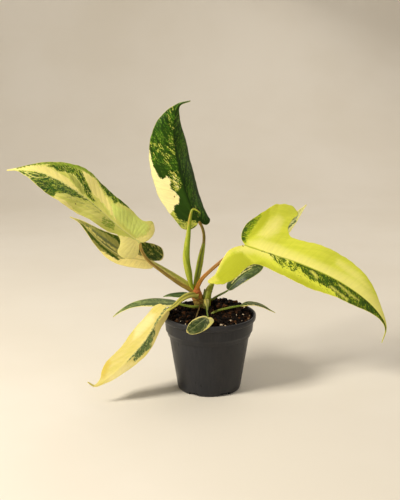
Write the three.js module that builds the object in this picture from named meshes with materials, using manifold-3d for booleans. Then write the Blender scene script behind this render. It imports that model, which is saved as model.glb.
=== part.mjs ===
// A potted variegated philodendron with long arrow-shaped leaves, in millimetres, +Z up.
// The origin is the middle of the pot's underside, and the plant's best side looks along -Y.
import * as THREE from "three";
import { mergeVertices } from "three/addons/utils/BufferGeometryUtils.js";
import Module from "manifold-3d";

const wasm = await Module();
wasm.setup();

// Driving dimensions
const GAP = 0.3; // clearance between two pieces that touch
const MERGE = 1e-3; // vertices closer than this are one
const FINE = 240; // samples along a curve that is measured
const RINGS_A_POINT = 1.6; // rings of a petiole for each point of its line

const POT = {
  rimRadius: 53,
  height: 88,
  lipHeight: 7,
  collarRadius: 50.4,
  collarBottom: 70.5,
  shoulderRadius: 45.6,
  shoulderBottom: 63.5,
  baseRadius: 36.3,
  footRadius: 35.5,
  footHeight: 2.5,
  wall: 1.2,
  floor: 1.6,
  segments: 40,
  slotCount: 6,
  slotWidth: 12,
  slotHeight: 3.2,
  slotInnerRadius: 31.5,
};

const SOIL = {
  edgeHeight: 84.8,
  moundHeight: 11.5,
  moundCentre: [8, 18],
  moundSpread: [38, 20],
  crumbHeight: 0.9,
  crumbWaves: [[0.61, 0.18, 0, 1], [-0.16, 0.53, 1.2, 1], [0.93, -0.66, 2.1, 0.5], [0.5, 0.98, 0.4, 0.5]],
  rings: 11,
  sectors: 34,
};

const STEM = {
  sides: 11,
  steps: 11,
  points: [[-7, 14, 72], [-8.5, 12, 86], [-11, 9.5, 96], [-14, 6.5, 106], [-16, 3.5, 114],
    [-16.3, 2.5, 117.5]],
  radii: [2.2, 4.2, 4.8, 4.4, 3.9, 2.2],
};

const SIDE_STEM = {
  sides: 9,
  steps: 10,
  points: [[-3, 12, 74], [-3.6, 10, 88], [-3.6, 8.5, 97], [-2.4, 8.6, 106], [0.3, 10, 113],
    [3.2, 11.5, 118]],
  radii: [2, 4, 4.4, 3.9, 3, 2.4],
};

const BLADE = {
  thickness: 0.9,
  smallThickness: 0.8,
  ridge: 1.4, // how far the midrib stands out beneath, at the joint
  smallRidge: 0.5,
  columns: [0, 0.08, 0.3, 0.55, 0.8, 1], // shares of the way from the midrib to the edge
  smallColumns: [0, 0.16, 0.55, 1],
  smallRows: 13,
  sweep: 1.25, // how strongly the side veins bow towards the tip
  backGrowth: 2, // a swollen blade grows this much more backwards, into the slanting notch
  foldReach: 2.5, // within this distance of the midrib the thickness turns from one half's to the other's
  waveReach: 15, // the margin's waves are at their full height this far from the midrib
  waveShift: 1.7, // the right half's waves run this much ahead of the left half's, in radians
};

const COLOURS = {
  pot: 0x2c2e31,
  soil: 0x2a1c15,
  stem: 0xb4936a,
  sideStem: 0x9fb44a,
  spike: 0x8fae3c,
  root: 0x7a5a2c,
  darkLeaf: 0x2f5a2c,
  sageLeaf: 0xa9bd62,
  creamLeaf: 0xefe08a,
  limeLeaf: 0xd3dd3f,
  greyLeaf: 0x5d7f5e,
  greenStalk: 0x86a23c,
  orangeStalk: 0xb5793a,
};

// Each leaf has
// midrib: points from the joint to the tip, and facing: where the upper face looks at each of them;
// veins: rows of [where the vein leaves, left end along and away, right end along and away], places along
//   as shares of the midrib and distances away from it in mm, left and right as seen from above;
// lift: rows of [share of the midrib, left angle, left curl, right angle, right curl], in degrees and
//   degrees per cm;
// wave: height in mm, length in mm and phase of the margin's waves;
// stalk: the petiole's points from the stem to the joint, and radii across and through it.
const LEAVES = {
  leaf_upper_left: {
    rows: 28,
    colour: "sageLeaf",
    midrib: [[-76, -20, 174], [-97, -25, 192], [-128, -31, 222], [-158, -38, 245], [-184, -43, 257],
      [-200, -46, 259], [-212, -48, 258]],
    facing: [[0.3, -0.75, 0.6], [0.3, -0.75, 0.6], [0.35, -0.7, 0.65], [0.35, -0.7, 0.65],
      [0.3, -0.65, 0.7], [0.2, -0.6, 0.75], [0.1, -0.6, 0.8]],
    veins: [
      [0, 0, 0.5, 0, 0.5],
      [0.004, 0, 5.5, -0.02, 3],
      [0.01, -0.02, 13, -0.04, 9],
      [0.018, -0.01, 20.5, -0.05, 17.5],
      [0.028, 0.03, 27, -0.04, 25],
      [0.04, 0.08, 30, 0, 30.5],
      [0.055, 0.11, 27, 0.04, 25],
      [0.07, 0.115, 19.5, 0.08, 23.5],
      [0.09, 0.13, 13, 0.14, 24.5],
      [0.12, 0.16, 10, 0.2, 25],
      [0.17, 0.23, 15.5, 0.3, 24.5],
      [0.27, 0.36, 20.5, 0.42, 26],
      [0.42, 0.53, 26, 0.56, 28.5],
      [0.57, 0.69, 25, 0.67, 23],
      [0.72, 0.81, 19, 0.78, 13],
      [0.84, 0.89, 10.5, 0.86, 6],
      [0.93, 0.94, 2.5, 0.94, 1.8],
      [1, 1, 0.6, 1, 0.6],
    ],
    lift: [[-0.1, 10, -6, 6, -6], [0.1, 12, -4, 12, -4], [0.8, 14, -4, 14, -4], [1, 10, 0, 10, 0]],
    wave: [0.8, 47, 0.6],
    stalk: {
      colour: "orangeStalk",
      points: [[-14, 4, 108], [-22, 0, 115.5], [-33, -3, 122.5], [-44, -7, 131.5], [-55, -11, 141],
        [-66, -15, 151], [-71, -17, 157.5], [-75, -18.7, 166], [-76.2, -19.4, 173]],
      radii: [[3.4, 3], [2.8, 2.4], [2.2, 2], [2, 1.8], [1.9, 1.7], [1.8, 1.7], [1.8, 1.7], [1.8, 1.6],
        [1.6, 1.4]],
    },
  },
  leaf_lower_left: {
    rows: 22,
    colour: "greyLeaf",
    midrib: [[-66, 8, 146], [-78, 9, 148], [-101, 12, 152], [-124, 16, 167], [-147, 22, 189],
      [-158, 24, 194]],
    facing: [[0.1, -0.85, 0.45], [0.1, -0.85, 0.45], [0.15, -0.85, 0.45], [0.2, -0.85, 0.45],
      [0.2, -0.85, 0.45], [0.2, -0.85, 0.45]],
    veins: [
      [0, 0, 0.5, 0, 0.5],
      [0.006, -0.03, 3.5, -0.05, 2],
      [0.015, -0.03, 7.5, -0.1, 3],
      [0.03, 0.01, 9.5, -0.12, 8.5],
      [0.06, 0.07, 10.5, -0.08, 17.5],
      [0.1, 0.14, 11, 0.01, 20.5],
      [0.17, 0.21, 11, 0.11, 20.5],
      [0.26, 0.3, 11, 0.25, 21],
      [0.38, 0.41, 11, 0.44, 19],
      [0.52, 0.54, 8.5, 0.59, 14],
      [0.68, 0.7, 5, 0.72, 9],
      [0.82, 0.84, 2.5, 0.84, 4],
      [0.93, 0.94, 1, 0.94, 1],
      [1, 1, 0.6, 1, 0.6],
    ],
    lift: [[-0.1, 8, -6, 8, -6], [0.1, 12, -4, 12, -4], [1, 14, -4, 14, -4]],
    wave: [0.7, 40, 2],
    stalk: {
      colour: "greenStalk",
      points: [[-15, 5, 108], [-23, 4, 119], [-33, 5, 127], [-44, 6, 134], [-56, 7, 141], [-65, 7.8, 145.6]],
      radii: [[3.2, 3], [3, 2.8], [2.6, 2.2], [2.2, 1.9], [1.8, 1.6], [1.5, 1.3]],
    },
  },
  leaf_upright: {
    rows: 24,
    colour: "darkLeaf",
    midrib: [[-12, 9, 192], [-22, 8, 211], [-33, 10, 247], [-39, 14, 278], [-39, 18, 304], [-34, 20, 320],
      [-21, 16, 325]],
    facing: [[0.35, -0.93, 0.1], [0.35, -0.93, 0.1], [0.35, -0.93, 0.1], [0.35, -0.93, 0.1],
      [0.35, -0.93, 0.1], [0.35, -0.9, 0.2], [0.2, -0.9, 0.4]],
    veins: [
      [0, 0, 0.5, 0, 0.5],
      [0.005, -0.02, 3.5, -0.03, 2.5],
      [0.012, -0.03, 11, -0.06, 7.5],
      [0.02, -0.02, 16.5, -0.06, 14.5],
      [0.03, 0.01, 21, -0.045, 17.5],
      [0.05, 0.09, 23.5, -0.01, 17.5],
      [0.09, 0.17, 27, 0.04, 19],
      [0.16, 0.25, 31, 0.1, 23],
      [0.25, 0.34, 32.5, 0.19, 27],
      [0.36, 0.45, 32.5, 0.31, 28.5],
      [0.48, 0.56, 30.5, 0.45, 29],
      [0.6, 0.68, 26, 0.59, 26.5],
      [0.71, 0.77, 19, 0.71, 19],
      [0.81, 0.84, 10.5, 0.81, 10.5],
      [0.9, 0.9, 2.5, 0.9, 2.5],
      [1, 1, 0.6, 1, 0.6],
    ],
    lift: [[-0.1, -20, -6, -24, -6], [0.2, -28, -5, -32, -6], [0.8, -28, -5, -32, -5], [1, -20, 0, -20, 0]],
    wave: [0.8, 52, 1],
    stalk: {
      colour: "greenStalk",
      points: [[-15, 5, 108], [-15, 4, 119], [-13, 6, 132], [-10.5, 8, 145], [-8.2, 9, 157], [-6.2, 10, 168],
        [-6.2, 11, 177], [-8.5, 11, 185.5], [-11.6, 9.4, 191.4]],
      radii: [[3, 3], [3, 2.8], [3.6, 2.4], [3.6, 2.2], [2.9, 2], [1.7, 1.7], [1.7, 1.7], [1.7, 1.6],
        [1.5, 1.3]],
    },
  },
  leaf_lobed_right: {
    rows: 38,
    colour: "limeLeaf",
    midrib: [[39, -10, 169], [61, -14, 162], [99, -22, 151], [142, -32, 133], [175, -40, 110],
      [190, -44, 91], [192, -45, 82], [188, -46, 68]],
    facing: [[0.1, -0.78, 0.62], [0.15, -0.78, 0.62], [0.2, -0.76, 0.64], [0.3, -0.74, 0.62],
      [0.5, -0.7, 0.5], [0.6, -0.7, 0.35], [0.7, -0.65, 0.2], [0.75, -0.65, 0]],
    veins: [
      [0, 0, 0.5, 0, 0.5],
      [0.004, -0.01, 1.8, -0.02, 2],
      [0.01, -0.03, 6, -0.07, 11],
      [0.016, -0.04, 14, -0.09, 25.5],
      [0.022, -0.03, 25.5, -0.1, 42],
      [0.03, 0.01, 38, -0.125, 51.5],
      [0.036, 0.04, 47, -0.09, 52.5],
      [0.044, 0.08, 59, -0.04, 49],
      [0.052, 0.13, 66.5, 0, 42],
      [0.06, 0.19, 68.5, 0.03, 32],
      [0.075, 0.22, 63, 0.05, 23.5],
      [0.105, 0.2, 49.5, 0.075, 17.5],
      [0.135, 0.195, 37, 0.11, 15],
      [0.17, 0.22, 29, 0.15, 15.5],
      [0.22, 0.28, 28, 0.22, 18],
      [0.3, 0.36, 31, 0.31, 20.5],
      [0.39, 0.45, 32.5, 0.42, 21],
      [0.5, 0.55, 31.5, 0.54, 18.5],
      [0.62, 0.66, 25.5, 0.67, 14.5],
      [0.74, 0.76, 15, 0.77, 8.5],
      [0.85, 0.84, 6, 0.86, 3.2],
      [0.93, 0.91, 1.5, 0.92, 1.5],
      [1, 1, 0.6, 1, 0.6],
    ],
    lift: [[-0.1, 6, 4, -8, -5], [0.1, 8, -2, -12, -4], [0.3, 8, -4, -14, -4], [0.8, 8, -5, -14, -4],
      [1, 5, 0, -5, 0]],
    wave: [0.9, 60, 0],
    stalk: {
      colour: "orangeStalk",
      points: [[-15, 5, 107], [-14, 2, 116], [-8.3, -1, 128], [0.7, -4, 138], [10, -6, 147], [18, -8, 154],
        [29, -9.4, 163], [37.4, -9.8, 167.8]],
      radii: [[3, 3], [2.9, 2.7], [2.2, 2.1], [2, 1.9], [2, 1.8], [1.9, 1.8], [1.8, 1.7], [1.6, 1.4]],
    },
  },
  leaf_drooping: {
    rows: 24,
    colour: "creamLeaf",
    midrib: [[-46, -28, 100], [-58, -36, 87], [-73, -44, 66], [-98, -52, 41], [-120, -56, 24],
      [-126, -57, 22], [-133, -58, 27]],
    facing: [[-0.3, -0.65, 0.65], [-0.35, -0.65, 0.65], [-0.4, -0.65, 0.6], [-0.4, -0.65, 0.6],
      [-0.3, -0.65, 0.65], [-0.15, -0.65, 0.75], [0, -0.65, 0.75]],
    veins: [
      [0, 0, 0.5, 0, 0.5],
      [0.005, 0, 2.5, -0.01, 2.5],
      [0.012, 0.02, 4.5, -0.01, 8],
      [0.025, 0.05, 6, -0.01, 13.5],
      [0.05, 0.09, 7, 0.03, 18],
      [0.09, 0.13, 7, 0.09, 20],
      [0.15, 0.19, 7.5, 0.18, 22],
      [0.23, 0.26, 8.5, 0.28, 25],
      [0.32, 0.34, 10, 0.41, 25.5],
      [0.42, 0.42, 11, 0.54, 23.5],
      [0.53, 0.52, 9.5, 0.66, 22],
      [0.65, 0.65, 7, 0.75, 20],
      [0.76, 0.77, 5, 0.81, 14.5],
      [0.86, 0.85, 2.5, 0.86, 6],
      [0.93, 0.92, 1.2, 0.92, 2],
      [1, 1, 0.6, 1, 0.6],
    ],
    lift: [[-0.1, -60, 0, 0, -6], [0.1, -60, -2, -6, -4], [0.3, -38, -3, -6, -4], [0.7, -30, -3, -6, -4],
      [1, -10, 0, -4, 0]],
    wave: [0.7, 43, 0],
    stalk: {
      colour: "greenStalk",
      points: [[-14, 6, 104], [-16, -2, 109.5], [-24, -12, 111.5], [-31, -19, 109.5], [-37, -24, 105],
        [-42, -26.6, 102], [-45.6, -28, 99.6]],
      radii: [[3, 3], [4, 2.4], [3.8, 1.9], [3.2, 1.7], [2.6, 1.6], [2, 1.5], [1.5, 1.2]],
      up: [-0.4, -0.5, 0.8],
    },
  },
  leaf_side_left: {
    small: true,
    colour: "greyLeaf",
    midrib: [[-35, -3, 100], [-47, -4, 101.5], [-61, -6, 102.5], [-78, -8, 101.5], [-91, -10, 97.5],
      [-103, -12, 91], [-108, -13, 87]],
    facing: [[0, -0.5, 0.85], [0, -0.5, 0.85], [0, -0.5, 0.85], [0, -0.5, 0.85], [0, -0.5, 0.85],
      [0, -0.5, 0.85], [0, -0.5, 0.85]],
    veins: [
      [0, 0, 0.5, 0, 0.5],
      [0.01, 0.04, 4.5, 0.03, 4.5],
      [0.06, 0.11, 7.5, 0.1, 6.5],
      [0.16, 0.23, 9.5, 0.23, 7.5],
      [0.32, 0.39, 8.5, 0.39, 7.5],
      [0.52, 0.57, 6, 0.57, 6],
      [0.72, 0.75, 3, 0.75, 4],
      [0.88, 0.9, 1.4, 0.9, 2],
      [1, 1, 0.6, 1, 0.6],
    ],
    lift: [[0, 12, -6, -14, -6], [1, 12, -6, -10, -6]],
    wave: [0.4, 31, 0],
    stalk: {
      colour: "greenStalk",
      points: [[-9.5, 9, 97], [-10, 2, 95.5], [-15, -2.6, 95.8], [-24, -3.8, 96.8], [-31, -3.6, 98.6],
        [-34.7, -3.1, 99.7]],
      radii: [[1.6, 1.6], [1.6, 1.6], [1.5, 1.5], [1.4, 1.3], [1.3, 1.1], [1.1, 0.9]],
    },
  },
  leaf_back_left: {
    small: true,
    colour: "darkLeaf",
    midrib: [[-22, 20, 103.5], [-30, 22, 102.8], [-38, 24, 102], [-46, 26, 101], [-53, 27, 99]],
    facing: [[0, -0.5, 0.85], [0, -0.5, 0.85], [0, -0.5, 0.85], [0, -0.5, 0.85], [0, -0.5, 0.85]],
    veins: [
      [0, 0, 0.5, 0, 0.5],
      [0.03, 0.08, 3, 0.08, 3],
      [0.16, 0.25, 4.5, 0.28, 4.5],
      [0.42, 0.5, 4.5, 0.52, 4],
      [0.72, 0.78, 2.6, 0.78, 2.4],
      [1, 1, 0.6, 1, 0.6],
    ],
    lift: [[0, 10, -6, 0, -6], [1, 10, -6, 0, -6]],
    wave: [0.3, 20, 0],
    stalk: {
      colour: "greenStalk",
      points: [[-10, 9.5, 97], [-13, 14, 101.5], [-17, 18, 103.5], [-21.6, 19.8, 103.2]],
      radii: [[1.5, 1.5], [1.4, 1.4], [1.2, 1.1], [1, 0.9]],
    },
  },
  leaf_back_right: {
    small: true,
    colour: "greyLeaf",
    midrib: [[22, 16, 110], [30, 17, 119], [39, 18, 127], [47, 20, 132], [55, 21, 135], [62, 22, 136.5]],
    facing: [[-0.3, -0.8, 0.5], [-0.3, -0.8, 0.5], [-0.3, -0.8, 0.5], [-0.3, -0.8, 0.5], [-0.3, -0.8, 0.5],
      [-0.3, -0.8, 0.5]],
    veins: [
      [0, 0, 0.5, 0, 0.5],
      [0.02, 0.01, 3.5, 0.04, 3],
      [0.08, 0.08, 6, 0.16, 5.5],
      [0.2, 0.22, 7, 0.34, 7.5],
      [0.4, 0.42, 7, 0.53, 9],
      [0.6, 0.62, 6.5, 0.73, 8.5],
      [0.8, 0.8, 5.5, 0.89, 6],
      [0.93, 0.93, 3.5, 0.97, 3],
      [1, 1, 0.6, 1, 0.6],
    ],
    lift: [[0, 10, -4, 10, -4], [1, 10, -4, 10, -4]],
    wave: [0.3, 26, 0],
    stalk: {
      colour: "greenStalk",
      points: [[-2, 13, 84], [-0.5, 14, 92], [2.5, 14.3, 98], [6.5, 14.6, 101.5], [12, 15, 104.6],
        [18, 15.6, 107.6], [21.7, 15.9, 109.7]],
      radii: [[1.2, 1.2], [1.5, 1.5], [1.4, 1.4], [1.3, 1.3], [1.2, 1.1], [1.1, 1], [0.9, 0.8]],
    },
  },
  leaf_side_right: {
    small: true,
    colour: "greyLeaf",
    midrib: [[35, 0, 96.3], [44, 1, 98.8], [53, 2, 98], [62, 2, 95], [69, 1, 91], [75, 0, 88]],
    facing: [[0.1, -0.45, 0.88], [0.1, -0.45, 0.88], [0.1, -0.45, 0.88], [0.1, -0.45, 0.88],
      [0.1, -0.45, 0.88], [0.1, -0.45, 0.88]],
    veins: [
      [0, 0, 0.5, 0, 0.5],
      [0.03, 0.06, 2.5, 0.05, 2.5],
      [0.14, 0.2, 4.5, 0.18, 4.5],
      [0.32, 0.38, 4.5, 0.37, 4.5],
      [0.52, 0.58, 3.8, 0.57, 3.8],
      [0.72, 0.76, 2.2, 0.76, 2.2],
      [0.88, 0.9, 1.1, 0.9, 1.1],
      [1, 1, 0.6, 1, 0.6],
    ],
    lift: [[0, -16, -6, 12, -6], [1, -16, -6, 12, -6]],
    wave: [0.3, 22, 0],
    stalk: {
      colour: "greenStalk",
      points: [[0, -4.6, 81], [2.5, -4.4, 87.5], [10, -3.4, 91.4], [19, -2, 93.4], [27, -1, 95],
        [34.6, 0, 96]],
      radii: [[1.3, 1.3], [1.4, 1.4], [1.3, 1.2], [1.2, 1.1], [1.2, 1], [1, 0.9]],
    },
  },
  leaf_front_small: {
    small: true,
    colour: "greyLeaf",
    midrib: [[-1.5, -35, 93.6], [-6, -42, 93], [-12.5, -50, 90.6], [-19.5, -56, 87], [-25, -59, 84.6]],
    facing: [[-0.1, -0.66, 0.74], [-0.1, -0.66, 0.74], [-0.1, -0.66, 0.74], [-0.1, -0.66, 0.74],
      [-0.1, -0.66, 0.74]],
    veins: [
      [0, 0, 0.5, 0, 0.5],
      [0.03, -0.06, 2.5, 0.03, 3],
      [0.12, -0.01, 7, 0.16, 5.5],
      [0.3, 0.19, 10.5, 0.34, 7],
      [0.5, 0.47, 11.5, 0.52, 7.5],
      [0.7, 0.68, 10.5, 0.71, 7],
      [0.86, 0.87, 7.5, 0.86, 5],
      [0.95, 0.97, 4, 0.95, 2.5],
      [1, 1, 0.6, 1, 0.6],
    ],
    lift: [[0, 6, -5, 6, -5], [1, 6, -5, 6, -5]],
    wave: [0.3, 24, 0],
    stalk: {
      colour: "greenStalk",
      points: [[-4, 6, 100], [-3.4, -2, 103], [-2.8, -9, 102], [-2.4, -16, 99.8], [-2.6, -25, 97],
        [-1.9, -34, 94.2]],
      radii: [[2, 2], [2.8, 2.2], [2.9, 2.4], [1.6, 1.4], [0.9, 0.9], [0.9, 0.8]],
    },
  },
  leaf_behind_right: {
    small: true,
    colour: "greyLeaf",
    midrib: [[57, 40, 155], [72, 44.5, 163], [86, 46, 172], [93, 46, 180], [99, 46, 187.5], [105.5, 46, 196],
      [112.5, 46, 204]],
    facing: [[-0.3, -0.9, 0.2], [-0.3, -0.9, 0.2], [-0.3, -0.9, 0.2], [-0.3, -0.9, 0.2], [-0.3, -0.9, 0.2],
      [-0.3, -0.9, 0.2], [-0.3, -0.9, 0.2]],
    veins: [
      [0, 0, 0.5, 0, 0.5],
      [0.02, 0.02, 4, 0.02, 4],
      [0.08, 0.12, 7, 0.12, 7],
      [0.24, 0.3, 8, 0.3, 8],
      [0.44, 0.5, 6.5, 0.48, 6.5],
      [0.62, 0.67, 5.5, 0.66, 5],
      [0.8, 0.83, 3, 0.83, 3],
      [0.93, 0.94, 1.2, 0.94, 1.2],
      [1, 1, 0.6, 1, 0.6],
    ],
    lift: [[0, 8, -4, 8, -4], [1, 8, -4, 8, -4]],
    wave: [0.3, 22, 0],
    stalk: {
      colour: "greenStalk",
      points: [[1.8, 11, 115.5], [7, 14.5, 124], [14, 19, 132], [27, 27, 142], [42, 34.5, 150],
        [56.4, 39.8, 154.8]],
      radii: [[2.2, 2.2], [2.1, 2], [1.8, 1.7], [1.5, 1.4], [1.3, 1.2], [1, 0.9]],
    },
  },
};

const SPIKE = {
  sides: 9,
  steps: 17,
  points: [[-16, 3, 108], [-20.5, 0, 121], [-23, -3, 135], [-25.6, -5, 152], [-25, -5, 166],
    [-23.6, -4.6, 178], [-21.8, -3.2, 196], [-18.6, -2, 207.5], [-15.5, -2.6, 207.6], [-10.6, -4, 204.6]],
  radii: [[2.4, 2.4], [2.6, 2.6], [4, 3], [4, 3], [3.4, 2.7], [2.7, 2.3], [1.9, 1.7], [1.2, 1], [0.9, 0.6],
    [0.5, 0.45]],
};

const BUD = {
  sides: 7,
  steps: 6,
  points: [[-5.6, 8.6, 98], [-6, 4.6, 105], [-5.6, 4.6, 110], [-5.2, 5.4, 114.4]],
  radii: [[1.2, 1.2], [1.6, 1.4], [1.2, 1], [0.5, 0.5]],
};

const ROOT = {
  sides: 6,
  steps: 9,
  points: [[-10.4, 8, 95], [-10, 2, 97.5], [-10.6, -4, 97.6], [-12.4, -11, 93.5], [-14.4, -16, 88.5],
    [-16, -19.5, 82]],
  radii: [[1, 1], [0.9, 0.9], [0.8, 0.8], [0.8, 0.8], [0.8, 0.8], [0.6, 0.6]],
};

// Geometry helpers
const vector = (point) => new THREE.Vector3(...point);
const curveThrough = (points) => new THREE.CatmullRomCurve3(points.map(vector), false, "centripetal");

function solidOf(geometry) {
  const bare = geometry.clone();
  bare.deleteAttribute("normal");
  bare.deleteAttribute("uv");
  const joined = mergeVertices(bare, MERGE);
  return new wasm.Manifold(
    new wasm.Mesh({
      numProp: 3,
      vertProperties: joined.attributes.position.array,
      triVerts: new Uint32Array(joined.index.array),
    }),
  );
}

function geometryOf(solid) {
  const mesh = solid.getMesh();
  const positions = new Float32Array(mesh.numVert * 3);
  for (let i = 0; i < mesh.numVert; i++) {
    positions.set(mesh.vertProperties.subarray(i * mesh.numProp, i * mesh.numProp + 3), i * 3);
  }
  const geometry = new THREE.BufferGeometry();
  geometry.setAttribute("position", new THREE.BufferAttribute(positions, 3));
  geometry.setIndex(new THREE.BufferAttribute(new Uint32Array(mesh.triVerts), 1));
  geometry.computeVertexNormals();
  return geometry;
}

function indexed(points, faces) {
  const geometry = new THREE.BufferGeometry();
  geometry.setFromPoints(points);
  geometry.setIndex(faces);
  return geometry;
}

function largest(solid) {
  return solid.decompose().reduce((best, body) => (body.volume() > best.volume() ? body : best));
}

// The value of a list of number rows at a share of the way through it, by straight lines between rows.
function between(rows, share) {
  const place = THREE.MathUtils.clamp(share, 0, 1) * (rows.length - 1);
  const before = Math.min(Math.floor(place), rows.length - 2);
  return rows[before].map((value, k) => THREE.MathUtils.lerp(value, rows[before + 1][k], place - before));
}

// The same for rows whose first number is their place.
function atPlace(rows, place) {
  const last = rows.length - 1;
  if (place <= rows[0][0]) return rows[0];
  if (place >= rows[last][0]) return rows[last];
  const next = rows.findIndex((row) => row[0] > place);
  const from = rows[next - 1];
  const share = (place - from[0]) / (rows[next][0] - from[0]);
  return from.map((value, k) => THREE.MathUtils.lerp(value, rows[next][k], share));
}

const DOME = 0.45; // the height of a stalk's rounded end as a share of its smaller radius

// A stalk: oval rings along a smooth curve, closed by a dome at each end. Swell makes it thicker all round.
function stalk({ points, radii, up = [0, -0.8, 0.6], sides = 7, steps = 12 }, swell = 0) {
  const curve = curveThrough(points);
  const pairs = radii.map((radius) => (Array.isArray(radius) ? radius : [radius, radius]));
  const rings = [];
  for (let i = 0; i <= steps; i++) {
    const share = i / steps;
    const along = curve.getTangent(share);
    const across = along.clone().cross(vector(up)).normalize();
    const through = across.clone().cross(along);
    const [wide, deep] = between(pairs, share);
    for (let k = 0; k < sides; k++) {
      const angle = (2 * Math.PI * k) / sides;
      rings.push(
        curve
          .getPoint(share)
          .addScaledVector(across, (wide + swell) * Math.cos(angle))
          .addScaledVector(through, (deep + swell) * Math.sin(angle)),
      );
    }
  }
  const dome = (share, direction) => {
    const [wide, deep] = between(pairs, share);
    const reach = direction * (DOME * Math.min(wide, deep) + swell);
    return curve.getPoint(share).addScaledVector(curve.getTangent(share), reach);
  };
  const start = rings.push(dome(0, -1)) - 1;
  const end = rings.push(dome(1, 1)) - 1;
  const faces = [];
  for (let i = 0; i < steps; i++) {
    for (let k = 0; k < sides; k++) {
      const a = i * sides + k;
      const b = i * sides + ((k + 1) % sides);
      faces.push(a, b + sides, b, a, a + sides, b + sides);
    }
  }
  for (let k = 0; k < sides; k++) {
    const next = (k + 1) % sides;
    faces.push(start, k, next, end, steps * sides + next, steps * sides + k);
  }
  return solidOf(indexed(rings, faces));
}

// The midrib in space: a point with its along, across and up directions at any distance from the joint.
// Behind the joint it runs straight on.
class Midrib {
  constructor(points, facing) {
    const path = curveThrough(points);
    const face = curveThrough(facing);
    this.samples = [];
    this.length = 0;
    for (let i = 0; i <= FINE; i++) {
      const share = i / FINE;
      const at = path.getPoint(share);
      if (i > 0) this.length += at.distanceTo(this.samples[i - 1].at);
      const along = path.getTangent(share);
      const across = along.clone().cross(face.getPoint(share)).normalize();
      const up = across.clone().cross(along);
      this.samples.push({ distance: this.length, at, along, across, up });
    }
  }

  frame(distance) {
    const last = this.samples.length - 1;
    const inside = THREE.MathUtils.clamp(distance, 0, this.length);
    const found = this.samples.findIndex((sample) => sample.distance >= inside);
    const next = THREE.MathUtils.clamp(found, 1, last);
    const from = this.samples[next - 1];
    const to = this.samples[next];
    const share = (inside - from.distance) / (to.distance - from.distance);
    const mixed = (key) => from[key].clone().lerp(to[key], share);
    const along = mixed("along").normalize();
    return {
      at: mixed("at").addScaledVector(along, Math.min(distance, 0)),
      across: mixed("across").normalize(),
      up: mixed("up").normalize(),
    };
  }
}

// How far across and up a blade half is at distance y, if it leaves the midrib at an angle and turns by
// curl each mm.
function bend(y, angle, curl) {
  const turn = Math.abs(curl) < 1e-6 ? 1e-6 : curl;
  return {
    across: (Math.sin(angle + turn * y) - Math.sin(angle)) / turn,
    up: (Math.cos(angle) - Math.cos(angle + turn * y)) / turn,
    angle: angle + turn * y,
  };
}

const NOTCH_TURN = 1.1; // how much more steeply the notch starts back than the lobes beside it

// Rows of [start, left along, left away, right along, right away] in mm, evenly along the longer edge.
// The first row is the notch at the joint, and its ends point back along the lobes where there are any.
function veinRows(veins, length, count) {
  const edge = (along, away) =>
    curveThrough(veins.map((vein) => [vein[along] * length, vein[away], 0]));
  const left = edge(1, 2);
  const right = edge(3, 4);
  const travelled = [[0, 0]];
  for (let i = 1; i <= FINE; i++) {
    const a = (i - 1) / FINE;
    const b = i / FINE;
    const step = Math.max(
      left.getPoint(a).distanceTo(left.getPoint(b)),
      right.getPoint(a).distanceTo(right.getPoint(b)),
    );
    travelled.push([travelled[i - 1][0] + step, b]);
  }
  const total = travelled[FINE][0];
  const rows = [];
  for (let i = 0; i < count; i++) {
    const share = atPlace(travelled, (total * i) / (count - 1))[1];
    const l = left.getPoint(share);
    const r = right.getPoint(share);
    rows.push([between(veins, share)[0] * length, l.x, l.y, r.x, r.y]);
  }
  const [notch, next] = rows;
  notch[1] = Math.min(0, (NOTCH_TURN * notch[2] * next[1]) / next[2]);
  notch[3] = Math.min(0, (NOTCH_TURN * notch[4] * next[3]) / next[4]);
  return rows;
}

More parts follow.
